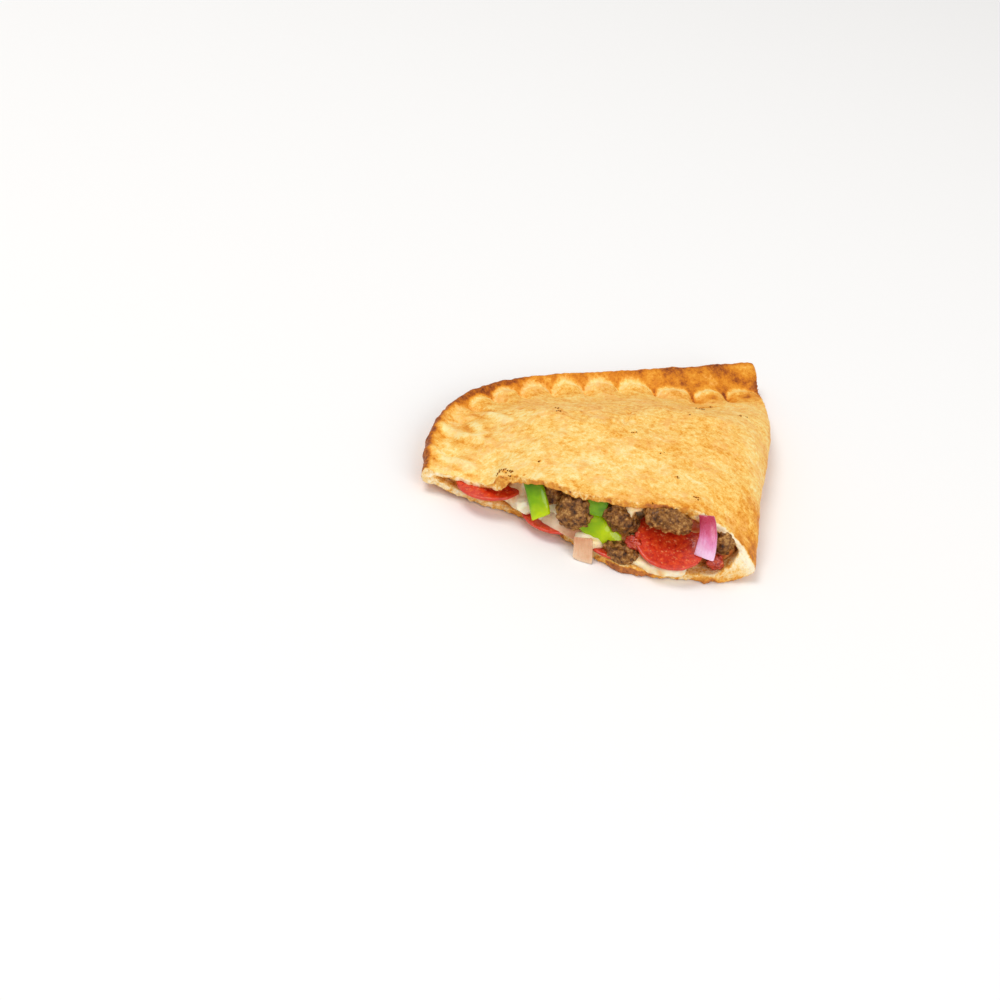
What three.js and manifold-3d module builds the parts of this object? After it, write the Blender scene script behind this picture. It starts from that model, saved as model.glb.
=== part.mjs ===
// Half of a large calzone, cut across the middle: a crimped, folded dough shell around
// melted cheese, with pepperoni, sausage, green pepper, onion and tomato at the cut.
// Millimetres, +Z up. Every piece is laid out from the corner where the cut meets the fold,
// with -X along the cut towards the crimped rim and +Y along the fold.
import * as THREE from "three";
import { mergeVertices } from "three/addons/utils/BufferGeometryUtils.js";
import Module from "manifold-3d";

const wasm = await Module();
wasm.setup();

// Where the cut-and-fold corner lies from the middle of the part's footprint.
const corner = { x: 100.65, y: -91.9 };

// Plan of the dough. The body runs on past the cut and is then trimmed.
const overrun = 40;
const rimPlan = [
  [-189, -overrun], [-193.5, 4], [-201, 40], [-199.5, 77], [-186.5, 104],
  [-162.5, 128], [-122, 154.5], [-76.5, 183], [-48, 201.5], [-31.5, 212],
];
const foldPlan = [
  [-31.5, 212], [-28.5, 206], [-24.5, 190], [-17, 166], [-10.5, 138], [-7.5, 105],
  [-5, 48], [0, 3], [3, -overrun],
];
// The mesh rings close in on a short line through the middle.
const heart = { x: -92, front: 8, back: 88 };

// Heights of the dough. The girth is the level where the upper and lower faces meet.
const domeHeight = 37;
const girth = { cutEnd: 9.5, foldEnd: 15, corner: 8, fold: 15 };
const lip = { cutEnd: 15, foldEnd: 21, round: 4, lift: 5 };
const valley = { cutEnd: 13.5, foldEnd: 12, near: 6, far: 21 };
const petal = { pitch: 22.7, phase: 0.47, reach: 9, rise: 2, pit: 3.5 };
const doughTop = 4;
const doughBottom = 4.5;
const foldWall = 11;
const foldRound = { top: 40, tip: 6, bottom: 15 };
const seam = { cutEnd: 6, back: 28, end: 13 };

// The cut bellies forward, more in the lower dough than in the upper.
const cut = {
  start: 2, lowerBelly: 28, lowerX: -64, lowerSpread: 46, upperBelly: 18, upperX: -96, upperSpread: 56,
};
const toe = { x: -19, reach: 5, spread: 15 };
const tear = { from: -180, to: -150, drop: 5.5, deep: 26, margin: 7 };

// Free space kept between neighbouring pieces.
const gap = 0.35;

const { lerp, clamp, smoothstep } = THREE.MathUtils;

// The rounding of an edge: 0 at the edge, 1 from the given width inwards.
function rounded(inset, width, power = 2) {
  return (1 - (1 - clamp(inset / width, 0, 1)) ** power) ** (1 / power);
}

// Gentle unevenness of hand-stretched dough, between about -1 and 1.
function uneven(x, y) {
  return 0.4 * Math.sin(0.071 * x + 1.3 * Math.sin(0.05 * y)) + 0.35 * Math.sin(0.093 * y + 0.06 * x + 2)
    + 0.25 * Math.sin(0.19 * x - 0.13 * y + 4);
}

function planLine(points, steps) {
  const path = points.map(([x, y]) => new THREE.Vector3(x, y, 0));
  return new THREE.CatmullRomCurve3(path, false, "centripetal").getSpacedPoints(steps);
}
const rimLine = planLine(rimPlan, 128);
const foldLine = planLine(foldPlan, 64);

// How far a point lies from a sampled line, and how far along that line.
function nearest(line, x, y) {
  let found = { inset: Infinity, along: 0 };
  let run = 0;
  for (let i = 1; i < line.length; i++) {
    const [a, b] = [line[i - 1], line[i]];
    const span = a.distanceTo(b);
    const t = clamp(((x - a.x) * (b.x - a.x) + (y - a.y) * (b.y - a.y)) / span ** 2, 0, 1);
    const inset = Math.hypot(x - lerp(a.x, b.x, t), y - lerp(a.y, b.y, t));
    if (inset < found.inset) found = { inset, along: run + span * t };
    run += span;
  }
  return { ...found, share: clamp((found.along - overrun) / (run - overrun), 0, 1) };
}

// Upper face of the dough before its edges are rounded, with or without the finger crimps.
function loaf(x, y, rim, crimped) {
  const across = 2 * ((rim.along / petal.pitch + petal.phase) % 1) - 1;
  const strength = lerp(0.35, 1, smoothstep(rim.share, 0.1, 0.45));
  const start = lerp(valley.near, valley.far, smoothstep(rim.share, 0.66, 0.84));
  const line = start + petal.reach * (1 - Math.sqrt(1 - across ** 2));
  const floor = lerp(valley.cutEnd, valley.foldEnd, rim.share);
  const edge = lerp(lip.cutEnd, lip.foldEnd, rim.share);
  const foot = lerp(8, start + 10, smoothstep(rim.share, 0.28, 0.5));
  const swell = (domeHeight - floor - petal.rise) * smoothstep(rim.inset, foot, foot + 72) + uneven(x, y);
  const torn = smoothstep(x, tear.from, tear.to - 6)
    * (1 - smoothstep(x - (crimped ? 0 : tear.margin), tear.to - 1.5, tear.to + 2));
  const sag = tear.drop * torn * (1 - smoothstep(y, -2, tear.deep));
  if (!crimped) return floor + petal.rise + swell - sag;
  const lipSlope = (edge - floor) * (1 - smoothstep(rim.inset, 2, start + 4));
  const pillow = petal.rise * smoothstep(rim.inset - line, -1, 6);
  const past = rim.inset - start - petal.reach;
  const cusp = Math.hypot(past > 0 ? 0.45 * past : past, (1 - Math.abs(across)) * petal.pitch / 2);
  const pit = petal.pit * Math.exp(-((cusp / 4.5) ** 2));
  return floor + lipSlope + swell * smoothstep(rim.inset, 6, 22) - sag + strength * (pillow - pit)
    + (1 - strength) * petal.rise * smoothstep(rim.inset, 8, 26);
}

// Everything the outer and inner faces share about one spot of the plan.
function spot(x, y) {
  const rim = nearest(rimLine, x, y);
  const fold = nearest(foldLine, x, y);
  const atRim = lerp(girth.cutEnd, girth.foldEnd, rim.share);
  const atFold = lerp(girth.corner, girth.fold, smoothstep(y, 0, 30));
  return {
    rim,
    fold,
    middle: lerp(atRim, atFold, smoothstep(rim.inset - fold.inset, -25, 25)),
    lift: lerp(lip.lift, lip.lift + 3, rim.share) * (1 - smoothstep(rim.inset, 3, 36)),
    topWidth: lerp(foldRound.tip, foldRound.top, smoothstep(rim.inset, 0, 90)),
    slump: lerp(1.25, 2, smoothstep(y, 0, 60)),
  };
}

function doughOutside(x, y) {
  const { rim, fold, middle, lift, topWidth, slump } = spot(x, y);
  const ends = rounded(rim.inset, lip.round) * rounded(y + overrun, 5);
  return {
    top: middle + (loaf(x, y, rim, true) - middle) * ends * rounded(fold.inset, topWidth, slump),
    bottom: middle - (middle - lift) * ends * rounded(fold.inset, foldRound.bottom),
  };
}

function seamAt(rim) {
  return lerp(seam.cutEnd, seam.back, smoothstep(rim.share, 0.04, 0.3))
    + seam.end * smoothstep(rim.share, 0.64, 0.8);
}

function doughInside(x, y) {
  const { rim, fold, lift, topWidth, slump } = spot(x, y);
  const seamWidth = seamAt(rim);
  const ends = rounded(rim.inset - seamWidth, 10) * rounded(y + overrun - 2, 5);
  const pressed = 5 * (1 - smoothstep(rim.inset, seamWidth, seamWidth + 18)) * smoothstep(rim.share, 0.05, 0.3);
  const floor = lift + doughBottom;
  const ceiling = Math.max(loaf(x, y, rim, false) - doughTop - pressed, floor + 2.2);
  const wall = fold.inset - foldWall;
  const middle = Math.min((floor + ceiling) / 2, floor + 5 + 6 * (1 - smoothstep(wall, 4, 26)));
  return {
    top: middle + (ceiling - middle) * ends * rounded(wall, topWidth - 4, slump),
    bottom: middle - (middle - floor) * ends * rounded(wall, 22),
  };
}

function solidOf(geometry) {
  const bare = geometry.clone();
  for (const name of Object.keys(bare.attributes)) if (name !== "position") bare.deleteAttribute(name);
  const merged = mergeVertices(bare, 1e-4);
  return new wasm.Manifold(new wasm.Mesh({
    numProp: 3,
    vertProperties: merged.attributes.position.array,
    triVerts: new Uint32Array(merged.index.array),
  }));
}

// The largest single body of a solid: trimming can leave loose scraps.
function mainBody(solid) {
  return solid.decompose().reduce((best, body) => (body.volume() > best.volume() ? body : best));
}

function geometryOf(solid) {
  const mesh = solid.getMesh();
  const geometry = new THREE.BufferGeometry();
  geometry.setAttribute("position", new THREE.BufferAttribute(Float32Array.from(mesh.vertProperties), 3));
  geometry.setIndex(new THREE.BufferAttribute(Uint32Array.from(mesh.triVerts), 1));
  geometry.computeVertexNormals();
  return geometry;
}

function heartOf(edge) {
  return new THREE.Vector2(heart.x, clamp(edge.y, heart.front, heart.back));
}

// A closed cushion-like solid over an outline: rings of points run from the outline in to the heart,
// once over the top and once under the bottom.
function cushion(outline, upperInsets, lowerInsets, heights, grow) {
  const points = [];
  const faces = [];
  const ring = (inset, side) => {
    const start = points.length / 3;
    for (const edge of outline) {
      const target = heartOf(edge);
      const t = inset < 1 ? inset : Math.min(inset / edge.distanceTo(target), 0.6);
      const { x, y } = edge.clone().lerp(target, t);
      const level = heights(x, y);
      points.push(x, y, side > 0 ? level.top + grow : level.bottom - grow);
    }
    return start;
  };
  const band = (outer, inner, side) => {
    for (let i = 0; i < outline.length; i++) {
      const j = (i + 1) % outline.length;
      const quad = [outer + i, outer + j, inner + j, inner + i];
      if (side < 0) quad.reverse();
      faces.push(quad[0], quad[1], quad[2], quad[0], quad[2], quad[3]);
    }
  };
  const first = { upper: ring(0, 1), lower: ring(0, -1) };
  band(first.lower, first.upper, 1);
  for (const side of [1, -1]) {
    let outer = side > 0 ? first.upper : first.lower;
    for (const inset of side > 0 ? upperInsets : lowerInsets) {
      const inner = ring(inset, side);
      band(outer, inner, side);
      outer = inner;
    }
    const pole = points.length / 3;
    const y = (heart.front + heart.back) / 2;
    const level = heights(heart.x, y);
    points.push(heart.x, y, side > 0 ? level.top + grow : level.bottom - grow);
    for (let i = 0; i < outline.length; i++) {
      const j = (i + 1) % outline.length;
      faces.push(...(side > 0 ? [outer + i, outer + j, pole] : [outer + j, outer + i, pole]));
    }
  }
  const geometry = new THREE.BufferGeometry();
  geometry.setAttribute("position", new THREE.Float32BufferAttribute(points, 3));
  geometry.setIndex(faces);
  return solidOf(geometry);
}

// Outline points, anticlockwise: along the front, up the fold and back round the rim.
function outlineOf(rimCount, foldCount, frontCount) {
  const front = planLine([rimPlan[0], foldPlan[foldPlan.length - 1]], frontCount).slice(1, -1);
  const fold = planLine(foldPlan, foldCount).slice(1).reverse();
  const rim = planLine(rimPlan, rimCount).reverse();
  return [...front, ...fold, ...rim].map((p) => new THREE.Vector2(p.x, p.y));
}

// How far a spot of the plan lies inside the walls of the room that holds the filling.
function insideWalls(x, y) {
  const rim = nearest(rimLine, x, y);
  return Math.min(rim.inset - seamAt(rim), nearest(foldLine, x, y).inset - foldWall, y + overrun - 2);
}

// An outline drawn in towards the heart until it lies that far inside those walls.
function drawnIn(outline, margin) {
  return outline.map((edge) => {
    const target = heartOf(edge);
    let [low, high] = [0, 0.9];
    for (let i = 0; i < 14; i++) {
      const t = (low + high) / 2;
      const spotAt = edge.clone().lerp(target, t);
      if (insideWalls(spotAt.x, spotAt.y) < margin) low = t;
      else high = t;
    }
    return edge.clone().lerp(target, high);
  });
}

// Everything in front of a wavy upright surface y = surface(x, z).
function frontOf(surface, xSteps, zSteps) {
  const box = new THREE.BoxGeometry(280, 1, 80, xSteps, 1, zSteps);
  const at = box.attributes.position;
  for (let i = 0; i < at.count; i++) {
    const x = at.getX(i) - 95;
    const z = at.getZ(i) + 25;
    at.setXYZ(i, x, at.getY(i) > 0 ? surface(x, z) : -overrun - 40, z);
  }
  return solidOf(box);
}

function cutLine(x, z) {
  const bell = (middle, spread) => Math.exp(-(((x - middle) / spread) ** 2));
  const lower = cut.start - cut.lowerBelly * bell(cut.lowerX, cut.lowerSpread) - toe.reach * bell(toe.x, toe.spread);
  const upper = cut.start - cut.upperBelly * bell(cut.upperX, cut.upperSpread);
  const ragged = 0.7 * Math.sin(x * 0.55 + 2 * Math.sin(x * 0.31)) * Math.sin(z * 0.4 + 1);
  return lerp(lower, upper, smoothstep(z, 5, 20)) + ragged;
}

function roomSolid(grow) {
  const outline = drawnIn(outlineOf(32, 15, 3), 0.1);
  if (grow >= 0) return cushion(outline, [1.5, 4, 10, 17, 26, 42, 0.72], [1.5, 6, 16, 32, 0.7], doughInside, grow);
  const inner = outline.map((edge) => edge.clone().lerp(heartOf(edge), 1.5 / edge.distanceTo(heartOf(edge))));
  return cushion(inner, [2.5, 8.5, 15.5, 24.5, 40.5, 0.72], [4.5, 14.5, 30.5, 0.7], doughInside, grow);
}

function crustSolid(grow) {
  const body = cushion(outlineOf(68, 30, 6), [1.2, 3.5, 7, 11, 14, 17.5, 21, 25, 31, 40, 52, 0.72],
    [2, 6, 14, 30, 0.75], doughOutside, grow);
  const room = roomSolid(-grow);
  return mainBody(body.subtract(room).subtract(frontOf((x, z) => cutLine(x, z) - grow, 66, 7)));
}

// Rotates a shape made along its own axes so that +Z runs along the given direction
// and -Y faces the given way, then moves it into place.
function placed(geometry, at, along, facing) {
  const up = new THREE.Vector3(...along).normalize();
  const side = new THREE.Vector3().crossVectors(up, new THREE.Vector3(...facing)).normalize();
  const back = new THREE.Vector3().crossVectors(up, side);
  const basis = new THREE.Matrix4().makeBasis(side, back, up);
  return solidOf(geometry.applyMatrix4(basis).translate(...at));
}

// A lumpy pebble of crumbled meat, or a dollop of sauce or cheese.
function chunk({ at, size, lean = [0, 0, 1], lumps = 0.08, seed = 1, detail = 2 }, grow, coarse) {
  const geometry = new THREE.IcosahedronGeometry(1, coarse ? 1 : detail);
  const point = geometry.attributes.position;
  for (let i = 0; i < point.count; i++) {
    const [x, y, z] = [point.getX(i), point.getY(i), point.getZ(i)];
    const bump = Math.sin(2.6 * x + seed) * Math.sin(2.9 * y + 2 * seed)
      + 0.8 * Math.sin(4.4 * z + 3 * seed) * Math.sin(4 * x - seed) + 0.5 * Math.sin(6.5 * y + 5 * z + seed);
    const r = 1 + lumps * bump;
    point.setXYZ(i, x * (size[0] * r + grow), y * (size[1] * r + grow), z * (size[2] * r + grow));
  }
  return placed(geometry, at, lean, [0, -1, 0]);
}

// A slice of pepperoni: a thin disc with a rounded edge that cups a little.
function slice({ at, radius, thick, lean, cup }, grow, coarse) {
  const [r, h] = [radius + grow, thick / 2 + grow];
  const edge = coarse ? [[r, -h], [r, h]] : [[r - 0.8, -h], [r, 0], [r - 0.8, h]];
  const profile = [[0, -h], ...edge, [0, h]].map(([x, y]) => new THREE.Vector2(x, y));
  const geometry = new THREE.LatheGeometry(profile, coarse ? 12 : 24);
  geometry.rotateX(Math.PI / 2);
  const point = geometry.attributes.position;
  for (let i = 0; i < point.count; i++) {
    const out = Math.hypot(point.getX(i), point.getY(i)) / radius;
    const wave = 1 + 0.3 * Math.sin(3 * Math.atan2(point.getY(i), point.getX(i)));
    point.setZ(i, point.getZ(i) + cup * out ** 2 * wave);
  }
  return placed(geometry, at, lean, [0, -1, 0]);
}

// A strip of pepper or onion between two ends, its skin facing the given way, bent across and along.
function strip({ from, to, facing, width, thick, bend = [1, 1], taper = 0 }, grow, coarse) {
  const [a, b] = [new THREE.Vector3(...from), new THREE.Vector3(...to)];
  const length = a.distanceTo(b) + 2 * grow;
  const steps = coarse ? [2, 1, 3] : [4, 1, 6];
  const geometry = new THREE.BoxGeometry(width + 2 * grow, thick + 2 * grow, length, ...steps);
  const point = geometry.attributes.position;
  for (let i = 0; i < point.count; i++) {
    const [x, y, z] = [point.getX(i), point.getY(i), point.getZ(i)];
    const narrow = 1 - taper * (z / length + 0.5);
    const bow = bend[0] * (2 * x / width) ** 2 + bend[1] * (2 * z / length) ** 2;
    point.setXYZ(i, x * narrow, y + bow, z);
  }
  return placed(geometry, a.clone().add(b).multiplyScalar(0.5).toArray(), b.clone().sub(a).toArray(), facing);
}

const colours = {
  crust: [0xe8ab52, 0.75], cheese: [0xf0dda2, 0.35], pepperoni: [0xc23318, 0.4], sausage: [0x7d5232, 0.6],
  pepper: [0x6fae1c, 0.25], redOnion: [0xc45a92, 0.3], onion: [0xe9c9ab, 0.3], sauce: [0xb92e17, 0.3],
};

// Pieces at the cut, front ones first: each is trimmed to clear those listed before it.
const pieces = [
  ["pepper_left", strip, "pepper", {
    from: [-119, -15, 13], to: [-129, -7, 31], facing: [0.1, -1, 0.45], width: 11, thick: 2.8,
    bend: [0.9, 1.2], taper: 0.06,
  }],
  ["onion_purple", strip, "redOnion", {
    from: [-28.5, -17, 18], to: [-32.3, -7.5, 37], facing: [-0.05, -1, 0.4], width: 11, thick: 2.4,
    bend: [1.6, 1.6], taper: 0.22,
  }],
  ["onion_tail", strip, "onion", {
    from: [-91.5, -25.5, 1.6], to: [-93.5, -22.5, 12.5], facing: [0, -1, 0.3], width: 11, thick: 1.8,
    bend: [0.4, 0.8], taper: 0.1,
  }],
  ["pepper_front", strip, "pepper", {
    from: [-72, -17, 8.5], to: [-94, -13, 20], facing: [0.1, -1, 0.6], width: 11, thick: 2.8,
    bend: [0.8, 1.4], taper: -0.35,
  }],
  ["sausage_round", chunk, "sausage", { at: [-101.8, -9, 20.8], size: [11, 10, 12], lumps: 0.05, detail: 3 }],
  ["sausage_lower", chunk, "sausage", { at: [-71, -19.5, 8], size: [10.6, 6.5, 5], lean: [0.2, 0, 1], seed: 2 }],
  ["sauce_middle", chunk, "sauce", { at: [-66.5, -16, 13.5], size: [5.2, 4, 4.2], lumps: 0.1, seed: 3 }],
  ["sausage_middle", chunk, "sausage", {
    at: [-76.5, -9, 23.4], size: [11, 8, 8.4], lean: [0.45, 0, 1], seed: 4,
  }],
  ["sausage_upper", chunk, "sausage", {
    at: [-51.5, -9, 29], size: [13.6, 8, 6.6], lean: [0.05, 0, 1], lumps: 0.07, seed: 5,
  }],
  ["pepperoni_right", slice, "pepperoni", {
    at: [-47.5, -9, 16.5], radius: 20, thick: 2.2, lean: [0.04, -0.4, 1], cup: 1.4,
  }],
  ["onion_strip", strip, "onion", {
    from: [-119, -8.5, 11], to: [-91, -17, 10], facing: [0, -1, 0.7], width: 9, thick: 1.8, bend: [0.6, 1.6],
  }],
  ["pepperoni_left", slice, "pepperoni", {
    at: [-154, 10.8, 14], radius: 21, thick: 2.2, lean: [-0.1, -0.14, 1], cup: 0.8,
  }],
  ["pepperoni_low", slice, "pepperoni", {
    at: [-76, -5.5, 6.4], radius: 19.5, thick: 2, lean: [0, -0.03, 1], cup: 0.5,
  }],
  ["pepperoni_under", slice, "pepperoni", {
    at: [-114, 3, 6.8], radius: 19.5, thick: 2, lean: [0, -0.05, 1], cup: 0.5,
  }],
  ["sauce_corner", chunk, "sauce", { at: [-21.5, -9, 10], size: [5, 4, 4.4], lean: [0.3, 0, 1], lumps: 0.12, seed: 6 }],
  ["sausage_shade", chunk, "sausage", { at: [-117, -1, 23], size: [7.5, 7, 8.5], seed: 7 }],
  ["sausage_corner", chunk, "sausage", { at: [-19.8, 0.5, 18.2], size: [5.6, 6.5, 6.2], seed: 8 }],
  ["pepper_back", strip, "pepper", {
    from: [-90.5, -13.5, 23], to: [-91.5, -11, 33.5], facing: [0, -1, 0.3], width: 13, thick: 2.6, bend: [1, 0.5],
  }],
];

// Cheese that runs out between the toppings and over the lower dough.
const runs = [
  { at: [-51, -17.5, 6], size: [17, 9.5, 5], lumps: 0.08, seed: 5 },
  { at: [-131, -4, 12], size: [5.5, 5, 4.2], lumps: 0.16, seed: 9 },
  { at: [-71, -6, 32], size: [5, 7, 3.6], lumps: 0.1, seed: 7 },
  { at: [-91, -17.5, 8.6], size: [8, 5, 3.6], lumps: 0.14, seed: 3 },
];

const part = new THREE.Group();
part.position.set(corner.x, corner.y, 0);

function addNode(name, slot, solid) {
  const [color, roughness] = colours[slot];
  const mesh = new THREE.Mesh(geometryOf(solid), new THREE.MeshStandardMaterial({ color, roughness, metalness: 0 }));
  mesh.name = name;
  part.add(mesh);
}

addNode("crust", "crust", crustSolid(0));
const dough = crustSolid(gap);
let others = null;
let pockets = null;
for (const [name, shape, slot, sizes] of pieces) {
  let solid = shape(sizes, 0).subtract(dough);
  if (others) solid = solid.subtract(others);
  addNode(name, slot, mainBody(solid));
  const grown = shape(sizes, gap);
  others = others ? others.add(grown) : grown;
  const pocket = shape(sizes, gap + 1, true);
  pockets = pockets ? pockets.add(pocket) : pocket;
}

// The cheese fills the dough to a little behind the cut, with a roomier, simpler pocket for each piece.
const cheeseFace = (x, z) => cutLine(x, Math.max(z, 13)) + 2.5 + 5 * smoothstep(x, -30, -8)
  + 5 * (1 - smoothstep(x, -176, -150)) + 8 * smoothstep(z, 13, 20) * (1 - smoothstep(x, -64, -46))
  + 4 * Math.exp(-(((x + 146) / 12) ** 2)) + 1.2 * Math.sin(x * 0.3 + z * 0.4);
let cheese = roomSolid(-gap).subtract(frontOf(cheeseFace, 30, 5));
for (const run of runs) cheese = cheese.add(chunk(run, 0).subtract(dough));
addNode("cheese", "cheese", mainBody(cheese.subtract(pockets)));

export default part;
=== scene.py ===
import math
import time
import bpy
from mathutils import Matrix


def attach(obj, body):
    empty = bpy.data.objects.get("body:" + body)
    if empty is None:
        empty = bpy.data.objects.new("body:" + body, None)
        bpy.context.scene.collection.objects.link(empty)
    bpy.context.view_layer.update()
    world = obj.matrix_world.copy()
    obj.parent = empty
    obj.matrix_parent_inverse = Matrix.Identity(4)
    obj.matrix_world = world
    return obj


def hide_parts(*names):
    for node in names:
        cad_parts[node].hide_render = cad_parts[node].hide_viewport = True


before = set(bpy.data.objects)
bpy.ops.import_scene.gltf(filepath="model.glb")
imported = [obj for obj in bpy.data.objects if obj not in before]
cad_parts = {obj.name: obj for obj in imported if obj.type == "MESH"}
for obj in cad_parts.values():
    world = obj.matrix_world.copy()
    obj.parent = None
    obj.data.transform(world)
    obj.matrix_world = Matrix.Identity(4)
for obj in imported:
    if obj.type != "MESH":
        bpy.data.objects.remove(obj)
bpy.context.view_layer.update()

from types import SimpleNamespace

import bmesh
import bpy
import numpy as np
from mathutils import Matrix, Vector

startTime = time.time()
corner = np.array([100.65, -91.9, 0.0])  # in mm, where the cut meets the fold: shapes are laid out from it


def report(stage):
    print(f"[{time.time() - startTime:5.1f} s] {stage}")


# Number helpers, on numpy arrays in millimetres

def mix(a, b, t):
    return a + (b - a) * t


def ease(value, low, high):
    t = np.clip((value - low) / (high - low), 0, 1)
    return t * t * (3 - 2 * t)


# 1 at no distance, falling to 0 at about twice the width
def bell(distance, width):
    return np.exp(-((distance / width) ** 2))


# A quarter round from 0 at the edge to 1 at the width
def rounded(inset, width, power=2.0):
    t = np.clip(inset / width, 0, 1)
    return (1 - (1 - t) ** power) ** (1 / power)


# A number from -1 to 1 for each whole-numbered place, the same on each run
def hashed(ix, iy, iz, seed):
    h = (ix * 374761393 + iy * 668265263 + iz * 1442695041 + seed * 974634777) & 0xFFFFFFFF
    h = ((h ^ (h >> 13)) * 1274126177) & 0xFFFFFFFF
    h = ((h ^ (h >> 15)) * 2246822519) & 0xFFFFFFFF
    return ((h ^ (h >> 16)) & 0xFFFF) / 32767.5 - 1.0


# Smooth noise with lumps of one size
def lumpy(points, size, seed=0):
    q = points / size
    cell = np.floor(q).astype(np.int64)
    f = q - cell
    f = f * f * f * (f * (f * 6 - 15) + 10)
    total = np.zeros(len(points))
    for dx in (0, 1):
        for dy in (0, 1):
            for dz in (0, 1):
                weight = np.ones(len(points))
                for axis, step in enumerate((dx, dy, dz)):
                    weight *= f[:, axis] if step else 1 - f[:, axis]
                total += weight * hashed(cell[:, 0] + dx, cell[:, 1] + dy, cell[:, 2] + dz, seed)
    return total


# Noise with finer lumps on coarse ones
def rough(points, size, octaves=3, seed=0):
    total, gain, scale = 0.0, 1.0, 0.0
    for k in range(octaves):
        total = total + gain * lumpy(points + 7.3 * k, size / 2 ** k, seed + k)
        scale += gain
        gain *= 0.55
    return total / scale * 1.5


# Distance to the nearest of one random point in each cell: 0 at the points, about 1 between them
def cells(points, size, seed=0):
    q = points / size
    cell = np.floor(q).astype(np.int64)
    best = np.full(len(points), 9.0)
    for dx in (-1, 0, 1):
        for dy in (-1, 0, 1):
            for dz in (-1, 0, 1):
                at = cell + (dx, dy, dz)
                stray = [hashed(at[:, 0], at[:, 1], at[:, 2], seed + 11 * k) for k in range(3)]
                spot = [at[:, k] + 0.5 + 0.45 * stray[k] for k in range(3)]
                best = np.minimum(best, np.linalg.norm(q - np.stack(spot, 1), axis=1))
    return best


# Mesh helpers

def newObject(name, points, faces):
    mesh = bpy.data.meshes.new(name)
    mesh.from_pydata([tuple(p) for p in points], [], [tuple(f) for f in faces])
    mesh.update()
    obj = bpy.data.objects.new(name, mesh)
    bpy.context.scene.collection.objects.link(obj)
    return obj


def pointsOf(obj):
    flat = np.empty(len(obj.data.vertices) * 3)
    obj.data.vertices.foreach_get("co", flat)
    return flat.reshape(-1, 3)


def normalsOf(obj):
    flat = np.empty(len(obj.data.vertices) * 3, np.float32)
    obj.data.vertex_normals.foreach_get("vector", flat)
    return flat.reshape(-1, 3).astype(float)


def setPoints(obj, points):
    obj.data.vertices.foreach_set("co", np.ascontiguousarray(points, np.float32).ravel())
    obj.data.update()


def remove(obj):
    mesh = obj.data
    bpy.data.objects.remove(obj)
    bpy.data.meshes.remove(mesh)


# Runs an object's modifiers and keeps the result as its own plain mesh
def settle(obj):
    evaluated = obj.evaluated_get(bpy.context.evaluated_depsgraph_get())
    mesh = bpy.data.meshes.new_from_object(evaluated)
    old = obj.data
    obj.modifiers.clear()
    obj.data = mesh
    bpy.data.meshes.remove(old)
    return obj


def joined(obj, other, operation):
    step = obj.modifiers.new("join", "BOOLEAN")
    step.operation = operation
    step.solver = "MANIFOLD"
    step.object = other
    settle(obj)
    remove(other)
    return obj


def voxelled(obj, size):
    step = obj.modifiers.new("voxels", "REMESH")
    step.mode = "VOXEL"
    step.voxel_size = size
    return settle(obj)


# Thins the mesh where weight is near 1, and leaves it fine where weight is 0
def thinned(obj, weight, ratio):
    group = obj.vertex_groups.new(name="hidden")
    levels = 4
    for level in range(1, levels + 1):
        chosen = np.nonzero(np.floor(weight * levels + 0.5) == level)[0]
        group.add(chosen.tolist(), level / levels, "REPLACE")
    step = obj.modifiers.new("thin", "DECIMATE")
    step.ratio = ratio
    step.vertex_group = group.name
    step.vertex_group_factor = 10
    settle(obj)
    obj.vertex_groups.clear()
    return obj


def paint(obj, name, values):
    layer = obj.data.attributes.new(name, "FLOAT", "POINT")
    layer.data.foreach_set("value", np.ascontiguousarray(values, np.float32))


def finishPiece(obj, material, node):
    points = pointsOf(obj) + corner
    points[:, 2] = np.maximum(points[:, 2], 0)  # nothing reaches below what it stands on
    setPoints(obj, points / 1000)
    obj.data.materials.clear()
    obj.data.materials.append(material)
    obj.data.shade_smooth()
    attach(obj, "root")
    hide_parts(node)
    return obj


# Material helpers: a number socket with arithmetic, and one method for every other node

class Value:
    def __init__(self, maker, socket):
        self.maker = maker
        self.socket = socket

    def __add__(self, other):
        return self.maker.maths("ADD", self, other)

    def __sub__(self, other):
        return self.maker.maths("SUBTRACT", self, other)

    def __mul__(self, other):
        return self.maker.maths("MULTIPLY", self, other)

    __radd__ = __add__
    __rmul__ = __mul__

    def __rsub__(self, other):
        return self.maker.maths("SUBTRACT", other, self)

    def step(self, low, high):
        values = {0: self, "From Min": low, "From Max": high}
        return self.maker.node("ShaderNodeMapRange", {"interpolation_type": "SMOOTHSTEP"}, values)


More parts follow.
